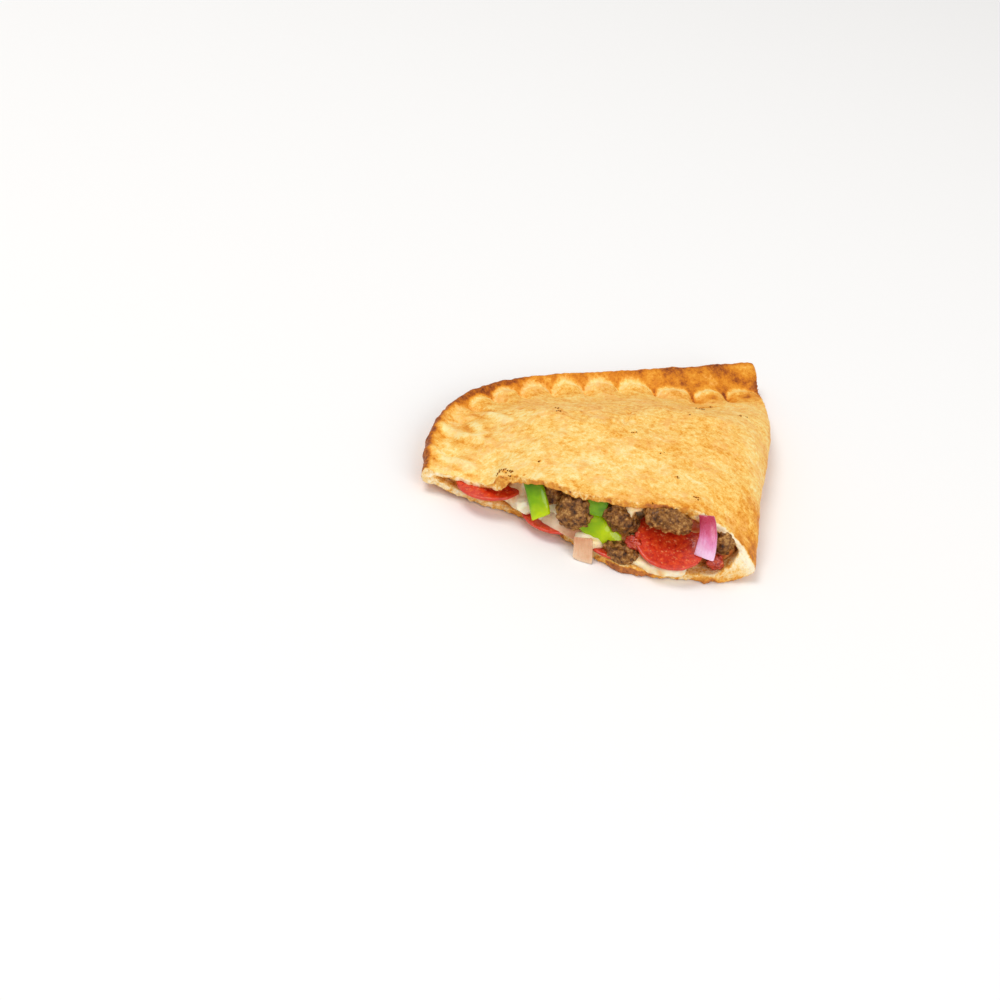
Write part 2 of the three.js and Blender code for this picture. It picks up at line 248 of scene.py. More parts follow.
class Maker:
    def __init__(self, name):
        self.material = bpy.data.materials.new(name)
        self.material.use_nodes = True
        self.tree = self.material.node_tree
        self.shader = self.tree.nodes["Principled BSDF"]
        self.place = self.node("ShaderNodeTexCoord", {}, {}, "Object")

    def node(self, kind, settings, values, output=0):
        made = self.tree.nodes.new(kind)
        for key, setting in settings.items():
            if key == "stops":
                self.setStops(made.color_ramp, setting)
            else:
                setattr(made, key, setting)
        for key, value in values.items():
            self.feed(made.inputs[key], value)
        return Value(self, made.outputs[output])

    def setStops(self, ramp, stops):
        while len(ramp.elements) < len(stops):
            ramp.elements.new(1.0)
        for element, (position, colour) in zip(ramp.elements, stops):
            element.position = position
            element.color = colour

    def feed(self, socket, value):
        if isinstance(value, Value):
            self.tree.links.new(value.socket, socket)
        else:
            socket.default_value = value

    def maths(self, operation, first, second):
        return self.node("ShaderNodeMath", {"operation": operation}, {0: first, 1: second})

    def noise(self, size, detail=3.0, roughness=0.55):
        values = {"Vector": self.place, "Scale": 1000 / size, "Detail": detail, "Roughness": roughness}
        return self.node("ShaderNodeTexNoise", {}, values)

    def cellular(self, size):
        return self.node("ShaderNodeTexVoronoi", {}, {"Vector": self.place, "Scale": 1000 / size})

    def attribute(self, name):
        return self.node("ShaderNodeAttribute", {"attribute_name": name}, {}, "Fac")

    def ramp(self, value, stops):
        return self.node("ShaderNodeValToRGB", {"stops": [(p, tone(c)) for p, c in stops]}, {0: value})

    def blend(self, factor, first, second):
        return self.node("ShaderNodeMix", {"data_type": "RGBA"}, {0: factor, 6: first, 7: second}, 2)

    def relief(self, height, depth, strength=1.0):
        values = {"Height": height, "Distance": depth / 1000, "Strength": strength}
        return self.node("ShaderNodeBump", {}, values)

    def finish(self, **values):
        for key, value in values.items():
            self.feed(self.shader.inputs[key.replace("_", " ")], value)
        return self.material


# A colour written as everyday 0 to 255 values, turned into the linear values that shaders take
def tone(colour):
    parts = [c / 255 for c in colour[:3]]
    return tuple(c / 12.92 if c <= 0.04045 else ((c + 0.055) / 1.055) ** 2.4 for c in parts) + (1.0,)


# Geometry Nodes: small grains scattered over a surface where its "where" attribute is high, on their own or
# joined to the surface

def scatterTree(name, joinBase, flatness, subdivisions=1):
    tree = bpy.data.node_groups.new(name, "GeometryNodeTree")
    face = tree.interface
    face.new_socket("Surface", in_out="INPUT", socket_type="NodeSocketGeometry")
    for label, kind in (("Density", "Float"), ("Smallest", "Float"), ("Largest", "Float"), ("Seed", "Int"),
                        ("Finish", "Material")):
        face.new_socket(label, in_out="INPUT", socket_type="NodeSocket" + kind)
    face.new_socket("Result", in_out="OUTPUT", socket_type="NodeSocketGeometry")

    def add(kind, settings=None, **links):
        node = tree.nodes.new(kind)
        for key, value in (settings or {}).items():
            setattr(node, key, value)
        for key, value in links.items():
            socket = node.inputs[key.replace("_", " ")]
            if isinstance(value, bpy.types.NodeSocket):
                tree.links.new(value, socket)
            else:
                socket.default_value = value
        return node

    start = tree.nodes.new("NodeGroupInput").outputs
    end = tree.nodes.new("NodeGroupOutput")
    where = add("GeometryNodeInputNamedAttribute", {"data_type": "FLOAT"}, Name="where")
    amount = add("ShaderNodeMath", {"operation": "MULTIPLY"})
    tree.links.new(start["Density"], amount.inputs[0])
    tree.links.new(where.outputs[0], amount.inputs[1])
    spread = add("GeometryNodeDistributePointsOnFaces", {"distribute_method": "RANDOM"},
                 Mesh=start["Surface"], Density=amount.outputs[0], Seed=start["Seed"])
    grain = add("GeometryNodeMeshIcoSphere", Radius=0.5, Subdivisions=subdivisions)
    squashed = add("GeometryNodeTransform", Geometry=grain.outputs[0], Scale=(1.0, 0.8, flatness))
    size = add("FunctionNodeRandomValue", {"data_type": "FLOAT"})
    tree.links.new(start["Smallest"], size.inputs[2])
    tree.links.new(start["Largest"], size.inputs[3])
    tree.links.new(start["Seed"], size.inputs["Seed"])
    turn = add("FunctionNodeRandomValue", {"data_type": "FLOAT"})
    turn.inputs[3].default_value = 6.283  # a full turn
    spin = add("ShaderNodeCombineXYZ", Z=turn.outputs[1])
    rotate = add("FunctionNodeRotateRotation", {"rotation_space": "LOCAL"},
                 Rotation=spread.outputs["Rotation"], Rotate_By=spin.outputs[0])
    copies = add("GeometryNodeInstanceOnPoints", Points=spread.outputs["Points"],
                 Instance=squashed.outputs[0], Rotation=rotate.outputs[0], Scale=size.outputs[1])
    result = add("GeometryNodeRealizeInstances", Geometry=copies.outputs[0]).outputs[0]
    if joinBase:
        gather = add("GeometryNodeJoinGeometry")
        tree.links.new(result, gather.inputs[0])
        tree.links.new(start["Surface"], gather.inputs[0])
        result = gather.outputs[0]
    dressed = add("GeometryNodeSetMaterial", Geometry=result, Material=start["Finish"])
    tree.links.new(dressed.outputs[0], end.inputs[0])
    return tree


def scattered(obj, tree, name, settings):
    step = obj.modifiers.new("scatter", "NODES")
    step.node_group = tree
    for item in tree.interface.items_tree:
        if item.in_out == "INPUT" and item.name in settings:
            step[item.identifier] = settings[item.name]
    evaluated = obj.evaluated_get(bpy.context.evaluated_depsgraph_get())
    mesh = bpy.data.meshes.new_from_object(evaluated)
    obj.modifiers.clear()
    made = bpy.data.objects.new(name, mesh)
    bpy.context.scene.collection.objects.link(made)
    return made


# Dough: the plan, the heights and the cut

dough = {
    "overrun": 40.0,  # how far the plan runs on past the cut
    "rim": [(-189, -40), (-193.5, 4), (-201, 40), (-199.5, 77), (-186.5, 104),
            (-162.5, 128), (-122, 154.5), (-76.5, 183), (-48, 201.5), (-31.5, 212)],
    "fold": [(-31.5, 212), (-28.5, 206), (-24.5, 190), (-17, 166), (-10.5, 138), (-7.5, 105),
             (-5, 48), (0, 3), (3, -40)],
    "heart": (-92.0, 8.0, 88.0),  # x, then from y to y
    "domeHeight": 37.0,
    "girth": (9.5, 15.0, 8.0, 15.0),  # height of the widest line: cut end, fold end, corner, along the fold
    "lip": (15.0, 21.0), "lipRound": 4.0, "lift": 5.0,  # the rim: height at both ends, round, lift
    "valley": (13.5, 12.0), "valleyInset": (6.0, 21.0),
    "petalPitch": 22.7, "petalPhase": 0.47, "petalReach": 9.0, "petalRise": 2.0, "petalPit": 3.5,
    "topThickness": 4.0, "bottomThickness": 4.5, "foldWall": 11.0,
    "foldRound": (40.0, 6.0, 15.0),  # top, tip, bottom
    "seam": (6.0, 28.0), "seamEnd": 13.0,  # how wide it is pressed shut: cut, back, and more at the tip
    "cutStart": 2.0,
    # how far the cut bulges forward, where, and how wide
    "lowerBelly": (28.0, -64.0, 46.0), "upperBelly": (18.0, -96.0, 56.0), "toe": (5.0, -19.0, 15.0),
    "tear": (-180.0, -150.0, 5.5, 26.0, 7.0),  # from, to, drop, depth, margin
    "spacing": 2.0, "voxel": 1.0,  # between the points of the first shape, and of the final mesh
    "relief": 1.0,  # 0 leaves the dough smooth
}


# A smooth line through points, then even steps along it
def planLine(points, count):
    p = np.array(points, float)
    p = np.vstack([2 * p[0] - p[1], p, 2 * p[-1] - p[-2]])
    t = np.linspace(0, 1, 60)[:, None]
    path = []
    for a, b, c, d in zip(p[:-3], p[1:-2], p[2:-1], p[3:]):
        s0, s1, s2 = (math.sqrt(np.linalg.norm(v - u)) for u, v in ((a, b), (b, c), (c, d)))
        m1 = s1 * ((b - a) / s0 - (c - a) / (s0 + s1) + (c - b) / s1)
        m2 = s1 * ((c - b) / s1 - (d - b) / (s1 + s2) + (d - c) / s2)
        path.append(b + m1 * t + (-3 * b + 3 * c - 2 * m1 - m2) * t ** 2 + (2 * b - 2 * c + m1 + m2) * t ** 3)
    path = np.vstack(path)
    run = np.concatenate([[0], np.cumsum(np.linalg.norm(np.diff(path, axis=0), axis=1))])
    at = np.linspace(0, run[-1], count + 1)
    return np.stack([np.interp(at, run, path[:, k]) for k in range(2)], 1)


rimLine = planLine(dough["rim"], 128)
foldLine = planLine(dough["fold"], 64)


# Distance to a plan line, the run along it to that spot, and the share of the run past the cut
def nearest(line, x, y):
    a, b = line[:-1], line[1:]
    ab = b - a
    span = np.linalg.norm(ab, axis=1)
    run = np.concatenate([[0], np.cumsum(span)])
    inset = np.empty(len(x))
    along = np.empty(len(x))
    batch = 20000  # spots at a time, to spare memory
    for start in range(0, len(x), batch):
        part = slice(start, start + batch)
        px = x[part, None] - a[:, 0]
        py = y[part, None] - a[:, 1]
        t = np.clip((px * ab[:, 0] + py * ab[:, 1]) / span ** 2, 0, 1)
        away = np.hypot(px - t * ab[:, 0], py - t * ab[:, 1])
        found = away.argmin(1)
        rows = np.arange(len(found))
        inset[part] = away[rows, found]
        along[part] = run[found] + span[found] * t[rows, found]
    share = np.clip((along - dough["overrun"]) / (run[-1] - dough["overrun"]), 0, 1)
    return inset, along, share


def uneven(x, y):
    return (0.4 * np.sin(0.071 * x + 1.3 * np.sin(0.05 * y)) + 0.35 * np.sin(0.093 * y + 0.06 * x + 2)
            + 0.25 * np.sin(0.19 * x - 0.13 * y + 4))


# How far the flap beside the left end hangs down
def tornAway(x, y, margin):
    left, right, drop, deep, _ = dough["tear"]
    torn = ease(x, left, right - 6) * (1 - ease(x - margin, right - 1.5, right + 2))
    return drop * torn * (1 - ease(y, -2, deep))


# Where the crimped petals start, how far in each one's edge lies, how far off the nearest pit is, their
# strength, and the place across a petal from -1 to 1
def petalsAt(rim):
    inset, along, share = rim
    across = 2 * ((along / dough["petalPitch"] + dough["petalPhase"]) % 1) - 1
    strength = mix(0.35, 1, ease(share, 0.1, 0.45))
    start = mix(*dough["valleyInset"], ease(share, 0.66, 0.84))
    bow = start + dough["petalReach"] * (1 - np.sqrt(np.clip(1 - across ** 2, 0, 1)))
    past = inset - start - dough["petalReach"]
    cusp = np.hypot(np.where(past > 0, 0.45 * past, past), (1 - abs(across)) * dough["petalPitch"] / 2)
    return start, bow, cusp, strength, across


# Height of the top before its edges are rounded, with the crimps or plain for the room inside
def loaf(x, y, rim, crimped):
    inset, along, share = rim
    start, bow, cusp, strength, _ = petalsAt(rim)
    floor = mix(*dough["valley"], share)
    foot = mix(8, start + 10, ease(share, 0.28, 0.5))
    swell = (dough["domeHeight"] - floor - dough["petalRise"]) * ease(inset, foot, foot + 72) + uneven(x, y)
    sag = tornAway(x, y, 0 if crimped else dough["tear"][4])
    if not crimped:
        return floor + dough["petalRise"] + swell - sag
    slope = (mix(*dough["lip"], share) - floor) * (1 - ease(inset, 2, start + 4))
    pillow = dough["petalRise"] * ease(inset - bow, -1, 6)
    pit = dough["petalPit"] * bell(cusp, 4.5)
    return (floor + slope + swell * ease(inset, 6, 22) - sag + strength * (pillow - pit)
            + (1 - strength) * dough["petalRise"] * ease(inset, 8, 26))


def spotOf(x, y):
    rim = nearest(rimLine, x, y)
    fold = nearest(foldLine, x, y)[0]
    cutEnd, foldEnd, cornerGirth, foldGirth = dough["girth"]
    atRim = mix(cutEnd, foldEnd, rim[2])
    atFold = mix(cornerGirth, foldGirth, ease(y, 0, 30))
    middle = mix(atRim, atFold, ease(rim[0] - fold, -25, 25))
    lift = mix(dough["lift"], dough["lift"] + 3, rim[2]) * (1 - ease(rim[0], 3, 36))
    topWidth = mix(dough["foldRound"][1], dough["foldRound"][0], ease(rim[0], 0, 90))
    return rim, fold, middle, lift, topWidth, mix(1.25, 2, ease(y, 0, 60))


def doughOutside(x, y):
    rim, fold, middle, lift, topWidth, slump = spotOf(x, y)
    ends = rounded(rim[0], dough["lipRound"]) * rounded(y + dough["overrun"], 5)
    top = middle + (loaf(x, y, rim, True) - middle) * ends * rounded(fold, topWidth, slump)
    bottom = middle - (middle - lift) * ends * rounded(fold, dough["foldRound"][2])
    return top, bottom


def seamAt(rim):
    return mix(*dough["seam"], ease(rim[2], 0.04, 0.3)) + dough["seamEnd"] * ease(rim[2], 0.64, 0.8)


def doughInside(x, y):
    rim, fold, _, lift, topWidth, slump = spotOf(x, y)
    seamWidth = seamAt(rim)
    ends = rounded(rim[0] - seamWidth, 10) * rounded(y + dough["overrun"] - 2, 5)
    pressed = 5 * (1 - ease(rim[0], seamWidth, seamWidth + 18)) * ease(rim[2], 0.05, 0.3)
    floor = lift + dough["bottomThickness"]
    ceiling = np.maximum(loaf(x, y, rim, False) - dough["topThickness"] - pressed, floor + 2.2)
    wall = fold - dough["foldWall"]
    middle = np.minimum((floor + ceiling) / 2, floor + 5 + 6 * (1 - ease(wall, 4, 26)))
    top = middle + (ceiling - middle) * ends * rounded(wall, topWidth - 4, slump)
    bottom = middle - (middle - floor) * ends * rounded(wall, 22)
    return top, bottom


# How far a spot of the plan lies inside the walls of the room that holds the filling
def insideWalls(x, y):
    rim = nearest(rimLine, x, y)
    wall = nearest(foldLine, x, y)[0] - dough["foldWall"]
    return np.minimum(np.minimum(rim[0] - seamAt(rim), wall), y + dough["overrun"] - 2)


# Draws an outline in towards its target until it is that far inside the walls
def drawnIn(outline, target, margin):
    low, high = np.zeros(len(outline)), np.full(len(outline), 0.9)
    for _ in range(14):  # each round halves the gap
        t = (low + high) / 2
        spot = outline + (target - outline) * t[:, None]
        short = insideWalls(spot[:, 0], spot[:, 1]) < margin
        low, high = np.where(short, t, low), np.where(short, high, t)
    return outline + (target - outline) * high[:, None]


# A closed cushion over the plan: rings run in from the outline, over the top and under the bottom
def cushion(name, margin, spacing, heights, grow=0.0):
    corner0, corner1 = rimLine[0], foldLine[-1]
    frontLength, foldLength, rimLength = 190, 265, 375  # in mm, about, for the count of points
    front = np.linspace(corner0, corner1, int(frontLength / spacing))[1:-1]
    fold = planLine(dough["fold"], int(foldLength / spacing))[1:][::-1]
    rim = planLine(dough["rim"], int(rimLength / spacing))[::-1]
    outline = np.vstack([front, fold, rim])
    heartX, heartFront, heartBack = dough["heart"]
    target = np.stack([np.full(len(outline), heartX), np.clip(outline[:, 1], heartFront, heartBack)], 1)
    if margin is not None:
        outline = drawnIn(outline, target, margin)
    reach = np.linalg.norm(target - outline, axis=1)
    steps = [0, 0.4, 1.0, 1.8, 2.8] + list(np.arange(4, 64, spacing))
    shares = [np.minimum(s / reach, 0.6) for s in steps]
    shares += [np.full(len(outline), s) for s in (0.68, 0.76, 0.84, 0.92, 0.985)]
    flat = np.vstack([outline + (target - outline) * s[:, None] for s in shares]
                     + [np.array([[heartX, (heartFront + heartBack) / 2]])])
    top, bottom = heights(flat[:, 0], flat[:, 1])
    count, rings = len(outline), len(shares)
    points = np.vstack([np.column_stack([flat, top + grow]), np.column_stack([flat, bottom - grow])])
    half = len(flat)
    faces = []
    ring = np.arange(count)
    after = (ring + 1) % count
    for k in range(rings - 1):
        a, b = k * count, (k + 1) * count
        faces.append(np.column_stack([a + ring, a + after, b + after, b + ring]))
        faces.append(half + np.column_stack([a + ring, b + ring, b + after, a + after]))
    faces = [tuple(f) for f in np.vstack(faces)]
    faces += [(half + int(i), half + int(j), int(j), int(i)) for i, j in zip(ring, after)]
    last = (rings - 1) * count
    faces += [(last + int(i), last + int(j), half - 1) for i, j in zip(ring, after)]
    faces += [(half + last + int(j), half + last + int(i), 2 * half - 1) for i, j in zip(ring, after)]
    return newObject(name, points, faces)


# A block in front of a wavy upright surface y = surface(x, z)
cutBlock = {"left": -235, "right": 46, "low": -15, "high": 66, "front": -90.0}


def blockBefore(name, surface, spacing):
    xs = np.arange(cutBlock["left"], cutBlock["right"], spacing)
    zs = np.arange(cutBlock["low"], cutBlock["high"], spacing)
    gx, gz = (g.ravel() for g in np.meshgrid(xs, zs, indexing="ij"))
    back = np.column_stack([gx, surface(gx, gz), gz])
    front = np.column_stack([gx, np.full(len(gx), cutBlock["front"]), gz])
    nx, nz = len(xs), len(zs)
    half = nx * nz
    faces = []
    for i in range(nx - 1):
        for j in range(nz - 1):
            a, b, c, d = i * nz + j, (i + 1) * nz + j, (i + 1) * nz + j + 1, i * nz + j + 1
            faces += [(a, d, c, b), (half + a, half + b, half + c, half + d)]
    border = ([(i * nz, (i + 1) * nz) for i in range(nx - 1)]
              + [((nx - 1) * nz + j, (nx - 1) * nz + j + 1) for j in range(nz - 1)]
              + [((i + 1) * nz + nz - 1, i * nz + nz - 1) for i in range(nx - 1)]
              + [(j + 1, j) for j in range(nz - 1)])
    faces += [(a, b, half + b, half + a) for a, b in border]
    return newObject(name, np.vstack([back, front]), faces)


def cutLine(x, z):
    def belly(reach, middle, spread):
        return reach * bell(x - middle, spread)
    lower = dough["cutStart"] - belly(*dough["lowerBelly"]) - belly(*dough["toe"])
    upper = dough["cutStart"] - belly(*dough["upperBelly"])
    ragged = 0.7 * np.sin(x * 0.55 + 2 * np.sin(x * 0.31)) * np.sin(z * 0.4 + 1)
    return mix(lower, upper, ease(z, 5, 20)) + ragged


# The cut with its frayed edge and the scallops of the lower lip
def cutSurface(x, z):
    p = np.column_stack([x, np.zeros(len(x)), z])
    frayed = 0.9 * rough(p, 5.0, 3, 21) + 0.5 * rough(p, 1.8, 2, 31)
    scallop = 0.9 * np.sin(x * 0.8 + 1.6 * np.sin(x * 0.31)) * (0.6 + 0.4 * np.sin(x * 0.37))
    return cutLine(x, z) + frayed + scallop * (1 - ease(z, 3, 7)) * ease(x, -75, -55)


def makeCrust():
    body = cushion("crustPiece", None, dough["spacing"], doughOutside)
    joined(body, cushion("roomPiece", 0.1, 1.5 * dough["spacing"], doughInside), "DIFFERENCE")
    joined(body, blockBefore("cutPiece", cutSurface, 0.7 * dough["spacing"]), "DIFFERENCE")
    voxelled(body, dough["voxel"])
    p = pointsOf(body)
    top, bottom = doughOutside(p[:, 0], p[:, 1])
    behind = p[:, 1] - cutLine(p[:, 0], p[:, 2])
    within = ease(np.minimum(top - p[:, 2], p[:, 2] - bottom), 1.2, 2.5)
    hidden = within * ease(behind, 20, 32)
    under = ease(top - p[:, 2], 4, 8) * ease(behind, 6, 14) * (1 - within)
    thinned(body, np.maximum(hidden, 0.75 * under), 0.62)
    report(f"crust mesh, {len(body.data.polygons)} faces")
    return body


# Crust: relief, then how brown each spot is, from 0 pale to 1 burnt, with painted shade and painted
# highlights mixed into the same numbers
creases = [  # from, to, width, height
    ((-193, 22, 14), (-166, 9, 17), 3.2, 1.5), ((-195, 49, 15), (-161, 30, 20), 3.6, 1.5),
    ((-185, 78, 18), (-157, 54, 25), 3.2, 1.1), ((-184, 64, 19), (-170, 40, 22), 3.5, 0.8),
]
brownSpots = [  # plan place, reach and how brown: on the last crimps, on top, and down the fold's front end
    ((-51, 158, 0), 5.5, 0.22), ((-31, 172, 0), 10.0, 0.18),
    ((-34, 63.5, 0), 3.6, 0.17), ((-27.5, 59.5, 0), 4.2, 0.2),
    ((-12, 20, 0), 12.0, 0.17), ((-5, 8, 0), 9.0, 0.13), ((-22, 11, 0), 8.0, 0.09), ((-10, 36, 0), 8.0, 0.1),
]
slitEnds = ((-56.6, 130.3, 0), (-46.4, 146.5, 0))
charSpots = [  # plan place and size
    (-130.6, 63.8, 1.7), (-132.4, 70, 1.2), (-128.5, 8.3, 1.3), (-84.4, 57.8, 1.2), (-58.3, 92.6, 1.2),
    (-54.9, 117.1, 1.5), (-52.8, 123, 1.1), (-30.2, 122.3, 1.2), (-26.8, 124.3, 1.3), (-95.1, 5.6, 1.1),
    (-53.9, 22.5, 1.1), (-66.2, 43.2, 1.0), (-39.9, 8.3, 1.2), (-149, 2.5, 1.5), (-147, 0.5, 1.6),
    (-145, -1, 1.6), (-142, -1.8, 1.5), (-133.5, -6, 1.2), (-62, -9, 1.1),
]
browningAndShading = {
    # The petal-edge amount paints a highlight; the pit, tick, groove and crease-foot amounts paint shade; the
    # other amounts are browning
    "plain": 0.31, "petalEdgeHighlight": -0.24, "petalHeart": 0.26, "pit": 0.22, "tickShade": 0.5,
    "grooveShade": (0.23, 0.35),  # behind the petals, at the near end and at the far end
    "rimBand": (0.12, 0.5), "rimCrest": (0.24, 0.12), "tallRim": 0.12,  # elsewhere, and where it is scorched
    "leftEnd": -0.11, "backTop": -0.05, "crease": -0.27, "creaseFootShade": 0.15, "cutEdge": 0.1, "slit": 0.4,
    "underside": 0.54, "crumb": 0.28, "inside": 0.42, "char": 0.55, "most": 0.8,
}


def offSegment(p, start, end):
    a, b = np.array(start, float), np.array(end, float)
    t = np.clip((p - a) @ (b - a) / ((b - a) @ (b - a)), 0, 1)
    return np.linalg.norm(p - a - t[:, None] * (b - a), axis=1)


def near(p, spot, reach):
    return bell(np.linalg.norm(p - np.array(spot, float), axis=1), reach)


# What each point of the crust belongs to: inner wall, crumb of the cut, or outside, with its distances
def readCrust(body):
    p, n = pointsOf(body), normalsOf(body)
    x, y, z = p.T
    plan = p * (1, 1, 0)
    rim = nearest(rimLine, x, y)
    inset, _, share = rim
    start, bow, cusp, strength, across = petalsAt(rim)
    step = 2.6  # in mm, out along the normal: an inner wall then lies in the room
    roof, floor = doughInside(x + step * n[:, 0], y + step * n[:, 1])
    inner = ((z + step * n[:, 2] < roof) & (z + step * n[:, 2] > floor)).astype(float)
    front = y - cutSurface(x, z)
    crumb = ease(-n[:, 1], 0.2, 0.55) * (1 - ease(np.abs(front), 0.8, 1.8))
    outer = (1 - inner) * (1 - crumb)
    upper = outer * ease(n[:, 2], -0.1, 0.35)
    return SimpleNamespace(
        p=p, n=n, x=x, z=z, plan=plan, inset=inset, share=share, fold=nearest(foldLine, x, y)[0], front=front,
        past=inset - start - dough["petalReach"], bow=bow, cusp=cusp, strength=strength,
        offPit=(1 - abs(across)) * dough["petalPitch"] / 2, offHeart=across * dough["petalPitch"] / 2,
        inner=inner, crumb=crumb, outer=outer, upper=upper, left=1 - ease(share, 0.2, 0.36),
        slit=upper * bell(offSegment(plan, *slitEnds), 1.1), pores=1 - ease(cells(p, 3.6, 13), 0.14, 0.44))


def raiseCrust(body, skin):
    p, offEdge = skin.p, skin.inset - skin.bow
    blister = (1 - ease(cells(p, 10.0, 5), 0.16, 0.5)) * ease(lumpy(p, 34.0, 6), 0.0, 0.4)
    rise = 0.42 * rough(p, 17.0, 2, 1) + 0.26 * rough(p, 5.5, 3, 2) + 0.45 * blister - 0.9 * skin.slit
    for first, last, width, height in creases:
        rise = rise + 1.5 * height * bell(offSegment(p, first, last), width)
    pillow = bell(offEdge - 5, 3.6) - 0.8 * bell(offEdge, 2.0)
    rise = rise + skin.strength * (0.35 * pillow - 0.9 * bell(skin.cusp, 2.5))
    crisp = 1 - ease(skin.inset, 1.5, 7)
    rise = rise + crisp * (0.55 * rough(p, 5.0, 3, 8) + 0.25 * skin.left * rough(p, 2.6, 2, 9))
    torn = 0.5 * rough(p, 3.2, 3, 12) - 0.7 * skin.pores
    lumps = (1 - ease(skin.z, 3, 6)) * ease(skin.x, -82, -70) * 0.7 * rough(p, 5.0, 2, 14)
    move = skin.outer * rise + skin.crumb * (torn + lumps) + skin.inner * 0.12 * rough(p, 4.0, 2, 15)
    setPoints(body, p + skin.n * (dough["relief"] * move)[:, None])


def petalBrowningAndShading(skin):
    p, past, share, strength = skin.p, skin.past, skin.share, skin.strength
    offEdge = skin.inset - skin.bow
    # the far end also gets the strongest painted shade in the pits
    far = 0.4 + 0.6 * ease(share, 0.55, 0.85)  # the crimps are deepest and brownest at the far end
    heart = bell(np.hypot(skin.offHeart, past - 2), 4.8) * (1 + 0.5 * rough(p, 4.0, 2, 37))
    # a painted shadow line at each pit between the last petals
    tickShade = bell(skin.offPit, 1.0) * ease(past, -7, -3) * (1 - ease(past, 0.5, 3)) * ease(share, 0.68, 0.8)
    # painted shade in the groove between the rim and the petals
    grooveShade = ease(skin.inset, 1, 4) * (1 - ease(offEdge, -2.5, 1.5)) * (1 + 0.4 * rough(p, 9.0, 2, 39))
    # The first term paints a highlight along the inside of each petal's edge; the heart term is browning; the
    # pit term paints shade in the pits
    return (browningAndShading["petalEdgeHighlight"] * strength * bell(offEdge - 2.5, 2.6)
            + far * strength * (browningAndShading["petalHeart"] * heart + browningAndShading["pit"] * bell(skin.cusp, 3.6))
            + browningAndShading["tickShade"] * tickShade
            + mix(*browningAndShading["grooveShade"], ease(share, 0.62, 0.85)) * strength * grooveShade)


def bakeRim(skin):
    p, inset, share, left = skin.p, skin.inset, skin.share, skin.left
    scorch = 1 - ease(share, 0.38, 0.5)
    tall = ease(share, 0.22, 0.32) * scorch
    width = mix(mix(mix(5, 7, ease(share, 0.4, 0.8)), 5.0, left), 10.0, tall)
    band = (1 - ease(inset, 0.3 * width, width)) * (1 + 0.25 * rough(p, 7.0, 2, 44))
    crest = (1 - ease(inset, 0.5, 3.2)) * (1 + 0.6 * rough(p, 4.0, 2, 45))
    backTop = ease(share, 0.5, 0.9) * (1 - ease(skin.fold, 10, 50)) * ease(inset, 30, 60)
    return ((mix(*browningAndShading["rimBand"], scorch) + browningAndShading["tallRim"] * tall) * band
            + mix(*browningAndShading["rimCrest"], scorch) * crest
            + browningAndShading["leftEnd"] * left * ease(inset, 6, 14) * (1 + 0.8 * rough(p, 9.0, 2, 46))
            + browningAndShading["backTop"] * backTop)


def outsideBrowningAndShading(skin):
    p, x = skin.p, skin.x
    bake = browningAndShading["plain"] + 0.05 * (rough(p, 26.0, 2, 40) + rough(p, 8.0, 3, 41) + rough(p, 2.6, 2, 42))
    bake = bake + petalBrowningAndShading(skin) + bakeRim(skin)
    overCut = (1 - ease(skin.front, 3, 13)) * ease(x, -150, -110) * (1 + 1.2 * rough(p, 7.0, 2, 38))
    bake = bake + mix(0.09, 0.15, ease(x, -100, -70)) * overCut
    for spot, reach, brown in brownSpots:
        bake = bake + brown * near(skin.plan, spot, reach) * (1 + 0.6 * rough(p, 5.0, 2, 57))
    # creases: paler along each ridge, with painted shade at their feet
    for first, last, width, _ in creases:
        off = offSegment(p, first, last) / width
        bake = bake + browningAndShading["crease"] * bell(off, 0.8) + browningAndShading["creaseFootShade"] * bell(off - 1.7, 0.6)
    side = ease(24 - skin.z, 0, 16) * (1 - ease(skin.fold, 3, 12)) * ease(skin.inset, 8, 20)
    bake = bake + side * (0.2 + 0.14 * rough(p, 9.0, 3, 47)) + 0.3 * near(p, (-8, 31, 16), 7)
    below = browningAndShading["underside"] + 0.1 * rough(p, 22.0, 3, 48) + 0.06 * rough(p, 4.0, 2, 49)
    bake = mix(bake, below, skin.outer * ease(-skin.n[:, 2], 0.1, 0.6))
    edge = skin.outer * skin.upper * (1 - ease(skin.front, 0, 2.2))
    flap = ease(x, -153, -149) * (1 - ease(x, -138, -130))
    return (bake + edge * (browningAndShading["cutEdge"] + 0.1 * rough(p, 6.0, 2, 50) + 0.3 * flap)
            + browningAndShading["slit"] * skin.slit)


def crumbToastAndShade(skin):
    p, x, z = skin.p, skin.x, skin.z
    toastAndShade = browningAndShading["crumb"] + 0.16 * rough(p, 9.0, 2, 51) + 0.1 * rough(p, 3.0, 2, 52)
    lower = (1 - ease(z, 1.5, 6)) * (0.6 + 0.8 * ease(rough(p, 12.0, 2, 53), -0.2, 0.5))
    foldEnd = ease(x, -40, -22) * ease(z, 4, 14)
    leftEnd = (1 - ease(x, -150, -120)) * (1 - ease(z, 12, 16))
    upper = (0.24 + 0.1 * rough(p, 5.0, 2, 55)) * ease(z, 15, 22) * (1 - ease(x, -48, -34))
    # painted shade darkens some of the crumb's pores
    inPores = skin.pores * ease(rough(p, 9.0, 2, 56), -0.1, 0.4)
    toastAndShade = toastAndShade + 0.3 * lower + 0.35 * near(p, (-62, -23, 3), 9) + 0.3 * inPores + upper
    return toastAndShade - 0.2 * foldEnd - 0.13 * leftEnd


def charred(skin, width):
    return skin.upper * sum(near(skin.plan, (x, y, 0), width * size) for x, y, size in charSpots)


